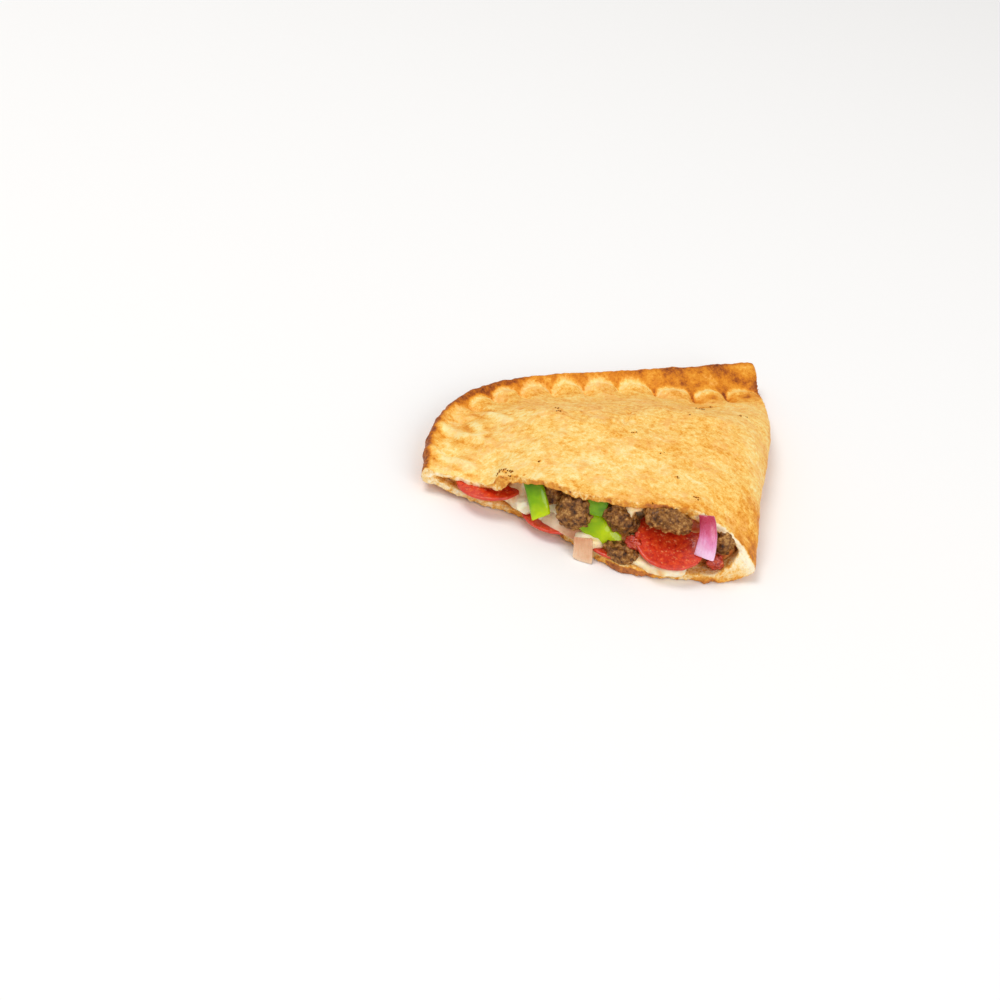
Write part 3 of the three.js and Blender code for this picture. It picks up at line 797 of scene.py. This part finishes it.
def dressCrust(body):
    skin = readCrust(body)
    raiseCrust(body, skin)
    # inner walls: dough colour, with painted shade darkening them from 18 mm up, in the gap over the filling
    inside = browningAndShading["inside"] + 0.14 * rough(skin.p, 7.0, 3, 54) + 0.2 * ease(skin.z, 18, 26)
    # brownness together with painted shade and painted highlights, read by the crust's colour ramp
    bake = np.where(skin.crumb > 0.5, crumbToastAndShade(skin), outsideBrowningAndShading(skin))
    bake = np.where(skin.inner > 0.5, inside, bake) + browningAndShading["char"] * charred(skin, 0.6)
    paint(body, "bake", np.clip(bake, 0, browningAndShading["most"]))
    paint(body, "crumb", np.maximum(skin.crumb, skin.inner))
    brink = (1 - ease(skin.front, 0.8, 2.4)) * ease(skin.x, -152, -148) * (1 - ease(skin.x, -136, -130))
    paint(body, "where", 0.8 * charred(skin, 0.75) + 0.25 * skin.slit ** 2 + 0.12 * skin.upper * brink)


def doughFinish():
    made = Maker("bakedDough")
    crumb = made.attribute("crumb")
    bake = made.attribute("bake")
    fine = (made.noise(2.8, 5.0, 0.78) - 0.5) * 1.3 + (made.noise(1.0, 2.0) - 0.5) * 0.45
    patch = (made.noise(11.0, 4.0, 0.6) - 0.5) * 0.52
    rosy = made.noise(19.0, 3.0).step(0.45, 0.65) * made.noise(3.0, 3.0).step(0.35, 0.6) * 0.55
    tint = bake + (fine + patch) * (1.0 - bake.step(0.4, 0.62) * 0.55)
    baked = made.ramp(tint, [(0, (255, 234, 164)), (0.2, (254, 214, 122)), (0.35, (250, 192, 88)),
                             (0.5, (239, 162, 48)), (0.64, (220, 132, 20)), (0.8, (168, 86, 14)),
                             (0.9, (112, 50, 12)), (1.0, (48, 22, 10))])
    baked = made.blend(rosy * (1.0 - tint.step(0.45, 0.6)), baked, tone((249, 184, 104)))
    inside = made.ramp(tint, [(0, (255, 242, 212)), (0.2, (254, 228, 176)), (0.38, (248, 206, 132)),
                              (0.5, (240, 178, 78)), (0.64, (222, 142, 48)), (0.8, (184, 108, 58)),
                              (1.0, (96, 44, 20))])
    pores = made.cellular(2.1).step(0.12, 0.5)
    height = made.noise(1.5, 3.0) * 0.6 + made.noise(0.45, 2.0) * 0.25 + crumb * pores * 0.8
    shine = 0.42 + made.noise(6.0) * 0.22 + crumb * 0.12
    return made.finish(Base_Color=made.blend(crumb, baked, inside), Roughness=shine,
                       Normal=made.relief(height, 0.5, 0.8), Specular_IOR_Level=0.25)


def charFinish():
    made = Maker("burntFleck")
    shade = made.ramp(made.noise(0.8), [(0.3, (92, 42, 10)), (0.7, (156, 86, 28))])
    return made.finish(Base_Color=shade, Roughness=0.7, Specular_IOR_Level=0.0,
                       Normal=made.relief(made.noise(0.3), 0.2))


# Cheese: fills the room behind the cut, with melted runs over the edge
filling = {
    "gap": 0.35,      # all round, to the dough
    "cutFrom": 13.0,  # below this height the cheese's face follows the cut no further
    "runs": [  # place, size, lumps, seed
        ((-51, -17.5, 6), (17, 9.5, 5), 0.08, 5), ((-131, -4, 12), (5.5, 5, 4.2), 0.16, 9),
        ((-71, -6, 32), (5, 7, 3.6), 0.1, 7), ((-91, -17.5, 8.6), (8, 5, 3.6), 0.14, 3),
    ],
    "strands": [  # points along a thread, then its radii
        (((-72, -11, 31), (-71.5, -12.5, 26), (-71.5, -13, 21), (-72.5, -13, 17)), (2.0, 1.0, 0.7, 1.1)),
    ],
    "oilSpots": [  # place, reach, how oily; pale below 0
        ((-104, -12, 10), 13, 0.5), ((-150, 6, 12), 16, 0.35), ((-66, -16, 14), 9, 0.6),
        ((-22, -8, 10), 8, 0.5), ((-52, -20, 5), 16, -0.35), ((-131, -6, 13), 7, -0.5),
        ((-93, -19, 9), 7, -0.45), ((-36, -14, 8), 9, -0.2), ((-20, 2, 22), 9, 0.5),
    ],
    "voxel": 0.9,
    "relief": 1.0,
}


def cheeseLine(x, z):
    return cutLine(x, np.maximum(z, filling["cutFrom"]))


def cheeseSurface(x, z):
    p = np.column_stack([x, np.zeros(len(x)), z])
    base = (cheeseLine(x, z) + 2.5 + 5 * ease(x, -30, -8) + 5 * (1 - ease(x, -176, -150))
            + 8 * ease(z, 13, 20) * (1 - ease(x, -64, -46)) + 4 * bell(x + 146, 12)
            + 1.2 * np.sin(x * 0.3 + z * 0.4))
    return base + filling["relief"] * (0.9 * rough(p, 8.0, 3, 61) + 0.3 * rough(p, 2.5, 2, 62))


# Turns points so that their z runs along one way and their back turns from the way they face, then moves them
def placedPoints(points, at, along, facing=(0, -1, 0)):
    up = np.array(along, float) / np.linalg.norm(along)
    side = np.cross(up, np.array(facing, float))
    side = side / np.linalg.norm(side)
    back = np.cross(up, side)
    return points @ np.stack([side, back, up]) + np.array(at, float)


def ball(subdivisions):
    made = bmesh.new()
    bmesh.ops.create_icosphere(made, subdivisions=subdivisions, radius=1.0)
    made.verts.ensure_lookup_table()
    points = np.array([v.co[:] for v in made.verts])
    faces = [[v.index for v in f.verts] for f in made.faces]
    made.free()
    return points, faces


def blob(name, at, size, lean, lumps, seed, subdivisions=5):
    points, faces = ball(subdivisions)
    x, y, z = points.T
    bump = (np.sin(2.6 * x + seed) * np.sin(2.9 * y + 2 * seed)
            + 0.8 * np.sin(4.4 * z + 3 * seed) * np.sin(4 * x - seed) + 0.5 * np.sin(6.5 * y + 5 * z + seed))
    r = (1 + lumps * bump)[:, None]
    return newObject(name, placedPoints(points * np.array(size) * r, at, lean), faces)


def thread(name, points, radii, sides=10, steps=24):
    t = np.linspace(0, len(points) - 1, steps)
    path = np.stack([np.interp(t, range(len(points)), [q[k] for q in points]) for k in range(3)], 1)
    for _ in range(3):
        path[1:-1] = (path[:-2] + 2 * path[1:-1] + path[2:]) / 4
    thick = np.interp(t, range(len(points)), radii)
    turn = np.linspace(0, 2 * np.pi, sides, endpoint=False)
    rings = []
    for k, (centre, r) in enumerate(zip(path, thick)):
        way = path[min(k + 1, steps - 1)] - path[max(k - 1, 0)]
        side = np.cross(way, (0.3, 1, 0.1))
        side /= np.linalg.norm(side)
        other = np.cross(way, side) / np.linalg.norm(way)
        rings.append(centre + r * (np.cos(turn)[:, None] * side + np.sin(turn)[:, None] * other))
    faces = [(k + i, k + sides + i, k + sides + (i + 1) % sides, k + (i + 1) % sides)
             for k in range(0, (steps - 1) * sides, sides) for i in range(sides)]
    faces += [tuple(range(sides)), tuple(reversed(range((steps - 1) * sides, steps * sides)))]
    obj = newObject(name, np.vstack(rings), faces)
    return outward(obj)


def outward(obj):
    made = bmesh.new()
    made.from_mesh(obj.data)
    bmesh.ops.recalc_face_normals(made, faces=made.faces)
    made.to_mesh(obj.data)
    made.free()
    obj.data.update()
    return obj


def makeCheese():
    body = cushion("cheesePiece", 1.4, 2.5, doughInside, -filling["gap"])
    joined(body, blockBefore("cheeseCut", cheeseSurface, 1.4), "DIFFERENCE")
    for at, size, lumps, seed in filling["runs"]:
        joined(body, blob("run", at, size, (0, 0, 1), lumps, seed), "UNION")
    for path, radii in filling["strands"]:
        joined(body, thread("strand", path, radii), "UNION")
    voxelled(body, filling["voxel"])
    p = pointsOf(body)
    thinned(body, ease(p[:, 1] - cheeseLine(p[:, 0], p[:, 2]), 10, 18), 0.4)
    p, n = pointsOf(body), normalsOf(body)
    front = 1 - ease(p[:, 1] - cheeseLine(p[:, 0], p[:, 2]), 4, 9)
    move = front * filling["relief"] * (0.5 * rough(p, 6.0, 2, 63) + 0.22 * rough(p, 2.2, 2, 64))
    setPoints(body, p + n * move[:, None])
    oil = 0.35 + 0.5 * rough(p, 13.0, 3, 65) + 0.25 * rough(p, 4.0, 2, 66)
    for spot, reach, amount in filling["oilSpots"]:
        oil = oil + amount * near(p, spot, reach)
    # painted shade: the cheese gets darker and browner from 18 mm up, in the gap under the roof, except at
    # the strand
    oil = oil + 0.35 * ease(p[:, 2], 18, 26) * (1 - near(p, (-71, -9, 29), 9))
    paint(body, "oil", np.clip(oil, 0, 1))
    report(f"cheese, {len(body.data.polygons)} faces")
    return body


def cheeseFinish():
    made = Maker("meltedCheese")
    tint = made.attribute("oil") + (made.noise(3.0, 3.0) - 0.5) * 0.35
    colour = made.ramp(tint, [(0, (255, 244, 212)), (0.32, (252, 226, 178)), (0.6, (242, 196, 128)),
                              (0.8, (220, 140, 70)), (1.0, (190, 84, 36))])
    height = made.noise(2.2, 3.0) * 0.7 + made.noise(0.6, 2.0) * 0.2
    return made.finish(Base_Color=colour, Roughness=0.3 + made.noise(2.5) * 0.2,
                       Normal=made.relief(height, 0.5, 0.6), Coat_Weight=0.2, Coat_Roughness=0.15,
                       Subsurface_Weight=0.25, Subsurface_Radius=(0.004, 0.0025, 0.0012),
                       Subsurface_Scale=1.0)


# Sausage: lumps of coarse ground meat
sausage = {
    "pieces": {  # place, size, lean, lumps, seed
        "sausage_round": ((-101.8, -9, 20.8), (11, 10, 12), (0, 0, 1), 0.05, 1),
        "sausage_lower": ((-71, -19.5, 8), (10.6, 6.5, 5), (0.2, 0, 1), 0.08, 2),
        "sausage_middle": ((-76.5, -9, 23.4), (11, 8, 8.4), (0.45, 0, 1), 0.08, 4),
        "sausage_upper": ((-51.5, -9, 29), (13.6, 8, 6.6), (0.05, 0, 1), 0.07, 5),
        "sausage_shade": ((-117, -1, 23), (7.5, 7, 8.5), (0, 0, 1), 0.08, 7),
        "sausage_corner": ((-19.8, 0.5, 18.2), (5.6, 6.5, 6.2), (0, 0, 1), 0.08, 8),
    },
    "grainDensity": 0.16, "smallestGrain": 1.4, "largestGrain": 3.2,  # per square mm, and mm
    "voxel": 0.55,
}


def makeSausage(name, tree, material):
    at, size, lean, lumps, seed = sausage["pieces"][name]
    core = blob("core", at, np.array(size) - 0.5, lean, lumps, seed)
    p, n = pointsOf(core), normalsOf(core)
    setPoints(core, p + n * (0.55 * rough(p, 5.0, 2, 70 + seed))[:, None])
    paint(core, "where", np.ones(len(p)))
    body = scattered(core, tree, name + ".meat", {
        "Density": sausage["grainDensity"], "Smallest": sausage["smallestGrain"],
        "Largest": sausage["largestGrain"], "Seed": seed, "Finish": material})
    remove(core)
    voxelled(body, sausage["voxel"])
    p, n = pointsOf(body), normalsOf(body)
    deep = 1 - ease(cells(p + 0.8 * rough(p, 3.0, 2, 60 + seed)[:, None], 2.4, 80 + seed), 0.35, 0.95)
    setPoints(body, p + n * (0.5 * rough(p, 2.2, 2, 90 + seed) + 0.4 * (deep - 0.5))[:, None])
    # marks the crevices between grains, which the finish darkens as painted shade
    paint(body, "crevice", 1 - deep)
    return body


def sausageFinish():
    made = Maker("groundSausage")
    crevice = made.attribute("crevice")
    tint = (made.noise(4.2, 4.0, 0.75) - 0.5) * 1.6 + (made.noise(0.9, 2.0) - 0.5) * 0.4
    # painted shade: darker in the crevices between the grains
    tint = tint + 0.5 + (0.5 - crevice) * 0.3
    colour = made.ramp(tint, [(0.15, (44, 22, 6)), (0.36, (88, 50, 16)), (0.5, (122, 76, 28)),
                              (0.64, (148, 96, 40)), (0.88, (206, 156, 88))])
    height = made.noise(1.3, 3.0) * 0.6 + made.noise(0.4, 2.0) * 0.3
    return made.finish(Base_Color=colour, Roughness=0.38 + made.noise(1.5) * 0.25,
                       Normal=made.relief(height, 0.5, 0.8), Coat_Weight=0.15, Coat_Roughness=0.2,
                       Specular_IOR_Level=0.25)


# Pepperoni: cupped slices with flecks of fat
pepperoni = {
    "slices": {  # place, radius, thickness, lean, cup
        "pepperoni_right": ((-47.5, -9, 16.5), 20.0, 2.2, (0.04, -0.4, 1), 1.4),
        "pepperoni_left": ((-154, 10.8, 14), 21.0, 2.2, (-0.1, -0.14, 1), 0.8),
        "pepperoni_low": ((-76, -5.5, 6.4), 19.5, 2.0, (0, -0.03, 1), 0.5),
        "pepperoni_under": ((-114, 3, 6.8), 19.5, 2.0, (0, -0.05, 1), 0.5),
    },
    "fatDensity": 0.06, "smallestFat": 0.5, "largestFat": 1.7,  # per square mm, and mm
    "sides": 120, "rings": 22,
}


def makePepperoni(name):
    at, radius, thick, lean, cup = pepperoni["slices"][name]
    seed = list(pepperoni["slices"]).index(name)
    half = thick / 2
    sides = pepperoni["sides"]
    turn = np.linspace(0, np.pi, 9)
    profile = [(r, -half) for r in np.linspace(0.0, radius - half, pepperoni["rings"])]
    profile += [(radius - half + half * math.sin(a), -half * math.cos(a)) for a in turn[1:-1]]
    profile += [(r, half) for r in np.linspace(radius - half, 0.0, pepperoni["rings"])]
    points, faces = [(0, 0, -half)], []
    angle = np.linspace(0, 2 * np.pi, sides, endpoint=False)
    rings = profile[1:-1]
    for r, h in rings:
        points += [(r * math.cos(a), r * math.sin(a), h) for a in angle]
    points.append((0, 0, half))
    for k in range(len(rings) - 1):
        one, two = 1 + k * sides, 1 + (k + 1) * sides
        faces += [(one + i, one + (i + 1) % sides, two + (i + 1) % sides, two + i) for i in range(sides)]
    last = 1 + (len(rings) - 1) * sides
    faces += [(0, 1 + (i + 1) % sides, 1 + i) for i in range(sides)]
    faces += [(last + i, last + (i + 1) % sides, len(points) - 1) for i in range(sides)]
    p = np.array(points, float)
    out = np.hypot(p[:, 0], p[:, 1]) / radius
    cupped = cup * out ** 2 * (1 + 0.3 * np.sin(3 * np.arctan2(p[:, 1], p[:, 0])))
    fray = 0.35 * rough(p + 50 * seed, 6.0, 3, 100) * ease(out, 0.8, 1.0)
    p[:, :2] *= (1 + fray / radius)[:, None]
    p[:, 2] += cupped + 0.18 * rough(p * (1, 1, 0) + 30 * seed, 5.0, 3, 101) * (1 - ease(out, 0.9, 1.0))
    obj = outward(newObject(name + ".slice", placedPoints(p, at, lean), faces))
    paint(obj, "edge", ease(out, 0.82, 0.98))
    paint(obj, "where", (1 - ease(out, 0.93, 0.97)) * (p[:, 2] > cupped))
    return obj


def pepperoniFinish():
    made = Maker("curedPepperoni")
    edge = made.attribute("edge")
    tint = made.noise(3.0, 4.0, 0.65) * 0.7 + made.noise(0.9, 3.0) * 0.3
    colour = made.ramp(tint, [(0.28, (140, 12, 6)), (0.42, (196, 34, 12)), (0.56, (222, 62, 20)),
                              (0.72, (240, 112, 48))])
    specks = made.cellular(2.3).step(0.3, 0.1)
    colour = made.blend(specks * 0.45, colour, tone((244, 136, 80)))
    colour = made.blend(edge * 0.35, colour, tone((214, 60, 22)))
    height = made.noise(1.6, 3.0) * 0.6 + made.noise(0.5, 2.0) * 0.3
    return made.finish(Base_Color=colour, Roughness=0.2 + made.noise(1.4) * 0.25,
                       Normal=made.relief(height, 0.4, 0.6), Coat_Weight=0.3, Coat_Roughness=0.12,
                       Subsurface_Weight=0.08, Subsurface_Radius=(0.003, 0.001, 0.0006), Subsurface_Scale=1.0)


def fatFinish():
    made = Maker("curedFat")
    colour = made.ramp(made.noise(1.5), [(0.3, (220, 78, 34)), (0.7, (240, 130, 78))])
    return made.finish(Base_Color=colour, Roughness=0.22, Normal=made.relief(made.noise(0.8), 0.2),
                       Coat_Weight=0.3, Coat_Roughness=0.12)


# Peppers and onions: bent strips with rounded edges
greens = {
    "strips": {  # from, to, facing, width, thickness, bend across and along, taper
        "pepper_left": ((-119, -15, 13), (-129, -7, 31), (0.1, -1, 0.45), 11, 2.8, (0.9, 1.2), 0.06),
        "pepper_front": ((-72, -17, 8.5), (-94, -13, 20), (0.1, -1, 0.6), 11, 2.8, (0.8, 1.4), -0.35),
        "pepper_back": ((-90.5, -13.5, 23), (-91.5, -11, 33.5), (0, -1, 0.3), 13, 2.6, (1, 0.5), 0),
        "onion_purple": ((-28.5, -17, 18), (-32.3, -7.5, 37), (-0.05, -1, 0.4), 11, 2.4, (1.6, 1.6), 0.22),
        "onion_tail": ((-91.5, -25.5, 1.6), (-93.5, -22.5, 12.5), (0, -1, 0.3), 11, 1.8, (0.4, 0.8), 0.1),
        "onion_strip": ((-119, -8.5, 11), (-91, -17, 10), (0, -1, 0.7), 9, 1.8, (0.6, 1.6), 0),
    },
    "shape": {  # bow to one side, and the slant of one end
        "onion_purple": (1.8, -0.28), "onion_tail": (0.3, -0.4),
        "pepper_left": (0.7, 0.1), "pepper_front": (-0.8, 0.3),
    },
    "round": {"pepper": 0.9, "onion": 0.7},  # of the edges
    # painted light and shade per pepper strip: pepper_front lighter and yellower, pepper_back darker
    "ripe": {"pepper_left": 0.0, "pepper_front": 0.22, "pepper_back": -0.15},  # yellower above 0
    "across": 34, "through": 8,  # points
    "relief": 1.0,
}


def makeStrip(name):
    start, end, facing, width, thick, bend, taper = greens["strips"][name]
    sideways, cornerCut = greens["shape"].get(name, (0.0, 0.0))
    kind = "pepper" if name.startswith("pepper") else "onion"
    seed = list(greens["strips"]).index(name)
    start, end = np.array(start, float), np.array(end, float)
    length = np.linalg.norm(end - start)
    grid, faces = boxGrid((greens["across"], greens["through"], int(length / width * greens["across"])))
    half = np.array([width, thick, length]) / 2
    p = grid * half
    edge = min(greens["round"][kind], thick / 2)
    core = np.clip(p, -(half - edge), half - edge)
    away = p - core
    far = np.linalg.norm(away, axis=1)
    p = core + away * (edge / np.maximum(far, 1e-6))[:, None] * (far > 1e-6)[:, None]
    u, v, w = 2 * p[:, 0] / width, 2 * p[:, 1] / thick, 2 * p[:, 2] / length
    atEdge = ease(np.maximum(abs(u), abs(w)), 0.85, 1.0)
    ragged = greens["relief"] * 0.3 * rough(p + 40 * seed, 5.0, 2, 110) * atEdge
    narrow = 1 - taper * (p[:, 2] / length + 0.5)
    waves = 0.22 * greens["relief"] * rough(p * (1, 0, 1) + 60 * seed, 7.0, 2, 111)
    bow = bend[0] * u ** 2 + bend[1] * w ** 2 + waves
    if kind == "pepper":
        bow = bow + 0.12 * np.cos(u * 5.2 + seed) * ease(v, 1.0, -1.0)
    slant = cornerCut * (u + 1) * width / 2 * (1 - ease(w, -1.0, 0.4))
    p = np.column_stack([p[:, 0] * narrow * (1 + ragged / width) + sideways * (1 - w ** 2),
                         p[:, 1] + bow, p[:, 2] + ragged + slant])
    centre = (start + end) / 2
    obj = outward(newObject(f"{name}.strip", placedPoints(p, centre, end - start, facing), faces))
    paint(obj, "across", u)
    paint(obj, "along", w * length / width)
    paint(obj, "skin", ease(v, 0.1, -0.55))
    paint(obj, "ripe", np.full(len(p), greens["ripe"].get(name, 0.0)))
    return obj


# The surface of a cube from -1 to 1, as one closed grid
def boxGrid(counts):
    index, points, faces = {}, [], []

    def at(i, j, k):
        key = (i, j, k)
        if key not in index:
            index[key] = len(points)
            points.append([2 * c / m - 1 for c, m in zip(key, counts)])
        return index[key]

    for axis in range(3):
        a, b = [k for k in range(3) if k != axis]
        for level in (0, counts[axis]):
            for i in range(counts[a]):
                for j in range(counts[b]):
                    corners = []
                    for di, dj in ((0, 0), (1, 0), (1, 1), (0, 1)):
                        key = [0, 0, 0]
                        key[axis], key[a], key[b] = level, i + di, j + dj
                        corners.append(at(*key))
                    faces.append(corners)
    return np.array(points, float), faces


def pepperFinish():
    made = Maker("greenPepper")
    skin = made.attribute("skin")
    # painted shade darkens each strip towards the end it runs to, and the per-strip brightness paints light
    # and shade
    shade = made.noise(9.0, 2.0) * 0.6 - made.attribute("along") * 0.12 + made.attribute("ripe") + 0.2
    green = made.ramp(shade, [(0.2, (62, 116, 0)), (0.45, (124, 172, 0)), (0.7, (190, 214, 0))])
    flesh = made.ramp(made.noise(2.0), [(0.3, (196, 216, 110)), (0.7, (226, 234, 158))])
    height = made.noise(5.0, 2.0) * 0.6 + made.noise(0.7, 2.0) * 0.12
    return made.finish(Base_Color=made.blend(skin, flesh, green), Roughness=0.16 + made.noise(3.0) * 0.14,
                       Normal=made.relief(height, 0.5, 0.5), Coat_Weight=0.4, Coat_Roughness=0.06,
                       Specular_IOR_Level=0.15, Subsurface_Weight=0.1,
                       Subsurface_Radius=(0.001, 0.003, 0.0005), Subsurface_Scale=1.0)


def onionFinish(name, stops, skinTone):
    made = Maker(name)
    across, along, skin = (made.attribute(k) for k in ("across", "along", "skin"))
    lines = made.node("ShaderNodeCombineXYZ", {}, {"X": across * 9.0, "Y": along * 0.9, "Z": skin})
    veins = made.node("ShaderNodeTexNoise", {}, {"Vector": lines, "Scale": 1.0, "Detail": 3.0})
    tint = (veins - 0.5) * 0.35 + (made.noise(6.0) - 0.5) * 0.4 - along * 0.26 + 0.5
    colour = made.blend(skin, tone(skinTone), made.ramp(tint, stops))
    return made.finish(Base_Color=colour, Roughness=0.2 + made.noise(2.0) * 0.15,
                       Normal=made.relief(veins, 0.35, 0.5), Coat_Weight=0.4, Coat_Roughness=0.08,
                       Subsurface_Weight=0.3, Subsurface_Radius=(0.003, 0.002, 0.002), Subsurface_Scale=1.0)


# Sauce: wet spoonfuls of tomato with bits in
sauce = {
    "spots": {  # place, size, lean, lumps, seed
        "sauce_middle": ((-66.5, -16, 13.5), (5.2, 4, 4.2), (0, 0, 1), 0.1, 3),
        "sauce_corner": ((-21.5, -9, 10), (5, 4, 4.4), (0.3, 0, 1), 0.12, 6),
    },
    "relief": 0.5,
}


def makeSauce(name):
    at, size, lean, lumps, seed = sauce["spots"][name]
    obj = blob(name + ".spoonful", at, size, lean, lumps, seed, 6)
    p, n = pointsOf(obj), normalsOf(obj)
    move = sauce["relief"] * (rough(p, 3.0, 3, 120 + seed) + 0.6 * (0.5 - cells(p, 2.4, seed)))
    setPoints(obj, p + n * move[:, None])
    return obj


def sauceFinish():
    made = Maker("tomatoSauce")
    colour = made.ramp(made.noise(2.2, 4.0, 0.6), [(0.28, (112, 18, 8)), (0.48, (182, 40, 18)),
                                                   (0.64, (214, 78, 36)), (0.8, (236, 132, 70))])
    return made.finish(Base_Color=colour, Roughness=0.14 + made.noise(1.0) * 0.2,
                       Normal=made.relief(made.noise(1.2, 3.0), 0.5, 0.8),
                       Coat_Weight=0.5, Coat_Roughness=0.08)


# Making every piece
crust = makeCrust()
dressCrust(crust)
flecks = {"Density": 1.2, "Smallest": 0.7, "Largest": 1.5, "Seed": 4, "Finish": charFinish()}
specks = scattered(crust, scatterTree("fleckTree", False, 0.55), "crust.flecks", flecks)
finishPiece(crust, doughFinish(), "crust")
finishPiece(specks, flecks["Finish"], "crust")
report(f"crust dressed, flecks {len(specks.data.polygons)} faces")

finishPiece(makeCheese(), cheeseFinish(), "cheese")

meat = sausageFinish()
grainTree = scatterTree("grainTree", True, 0.75, 2)
for name in sausage["pieces"]:
    finishPiece(makeSausage(name, grainTree, meat), meat, name)
report("sausage")

cured, fat = pepperoniFinish(), fatFinish()
fatTree = scatterTree("fatTree", False, 0.22, 2)
for number, name in enumerate(pepperoni["slices"]):
    disc = makePepperoni(name)
    bits = scattered(disc, fatTree, name + ".fat", {
        "Density": pepperoni["fatDensity"], "Smallest": pepperoni["smallestFat"],
        "Largest": pepperoni["largestFat"], "Seed": 20 + number, "Finish": fat})
    finishPiece(disc, cured, name)
    finishPiece(bits, fat, name)
report("pepperoni")

purple = [(0.15, (184, 44, 76)), (0.4, (206, 82, 122)), (0.65, (230, 140, 186)), (0.9, (246, 202, 232))]
pale = [(0.2, (206, 142, 100)), (0.5, (228, 178, 136)), (0.8, (244, 212, 180))]
stripFinishes = {
    "pepper": (pepperFinish(), "pepper"),
    "onion_purple": (onionFinish("purpleOnion", purple, (240, 196, 222)), "red_onion"),
    "onion": (onionFinish("paleOnion", pale, (244, 208, 176)), "onion"),
}
for name in greens["strips"]:
    kind = name if name in stripFinishes else name.split("_")[0]
    finishPiece(makeStrip(name), stripFinishes[kind][0], name)
wet = sauceFinish()
for name in sauce["spots"]:
    finishPiece(makeSauce(name), wet, name)
report("peppers, onions and sauce")

# Camera, floor and light
view = {
    "place": (0.086783, -0.840241, 0.520426), "forward": (-0.14396, 0.81644, -0.55919),
    "right": (0.95749, 0.25766, 0.12969), "up": (-0.24997, 0.51675, 0.81883),
    "lens": 58.91, "sensor": 36.0, "nearest": 0.01,
}
lighting = {
    "lamps": {  # place, width, power, colour
        "keyLight": ((-1.2, -0.2, 3.2), 1.8, 44.5, (1.0, 0.98, 0.95)),
        "fillLight": ((2.0, -2.2, 1.7), 2.2, 35.5, (1.0, 1.0, 1.0)),
    },
    "target": (0, 0, 0.02),
    "sky": 0.565, "skyColour": (1.0, 0.99, 0.98, 1.0), "exposure": 0.0,
}
ground = {"reach": 30.0, "drop": 0.0004, "colour": (252, 252, 252)}
lens = bpy.data.cameras.new("cameraLens")
lens.lens = view["lens"]
lens.sensor_width = view["sensor"]
lens.clip_start = view["nearest"]
camera = bpy.data.objects.new("camera", lens)
bpy.context.scene.collection.objects.link(camera)
turned = Matrix((view["right"], view["up"], tuple(-c for c in view["forward"]))).transposed().to_4x4()
camera.matrix_world = Matrix.Translation(view["place"]) @ turned
bpy.context.scene.camera = camera


def addLight(name, place, width, power, colour):
    lamp = bpy.data.lights.new(name, "AREA")
    lamp.shape = "DISK"
    lamp.size = width
    lamp.energy = power
    lamp.color = colour
    obj = bpy.data.objects.new(name, lamp)
    obj.location = place
    obj.rotation_euler = (Vector(lighting["target"]) - Vector(place)).to_track_quat("-Z", "Y").to_euler()
    bpy.context.scene.collection.objects.link(obj)


for name, settings in lighting["lamps"].items():
    addLight(name, *settings)
world = bpy.data.worlds.new("softRoom")
world.use_nodes = True
sky = world.node_tree.nodes["Background"].inputs
sky["Color"].default_value = lighting["skyColour"]
sky["Strength"].default_value = lighting["sky"]
bpy.context.scene.world = world

reach = ground["reach"]
around = [(x * reach, y * reach, -ground["drop"]) for x, y in ((-1, -1), (1, -1), (1, 1), (-1, 1))]
floorPlane = newObject("floorPlane", around, [(0, 1, 2, 3)])
floorPlane.data.materials.append(Maker("paleFloor").finish(Base_Color=tone(ground["colour"]), Roughness=0.8))
bpy.context.scene.view_settings.view_transform = "Standard"
bpy.context.scene.view_settings.exposure = lighting["exposure"]

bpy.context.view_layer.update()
report("scene ready")
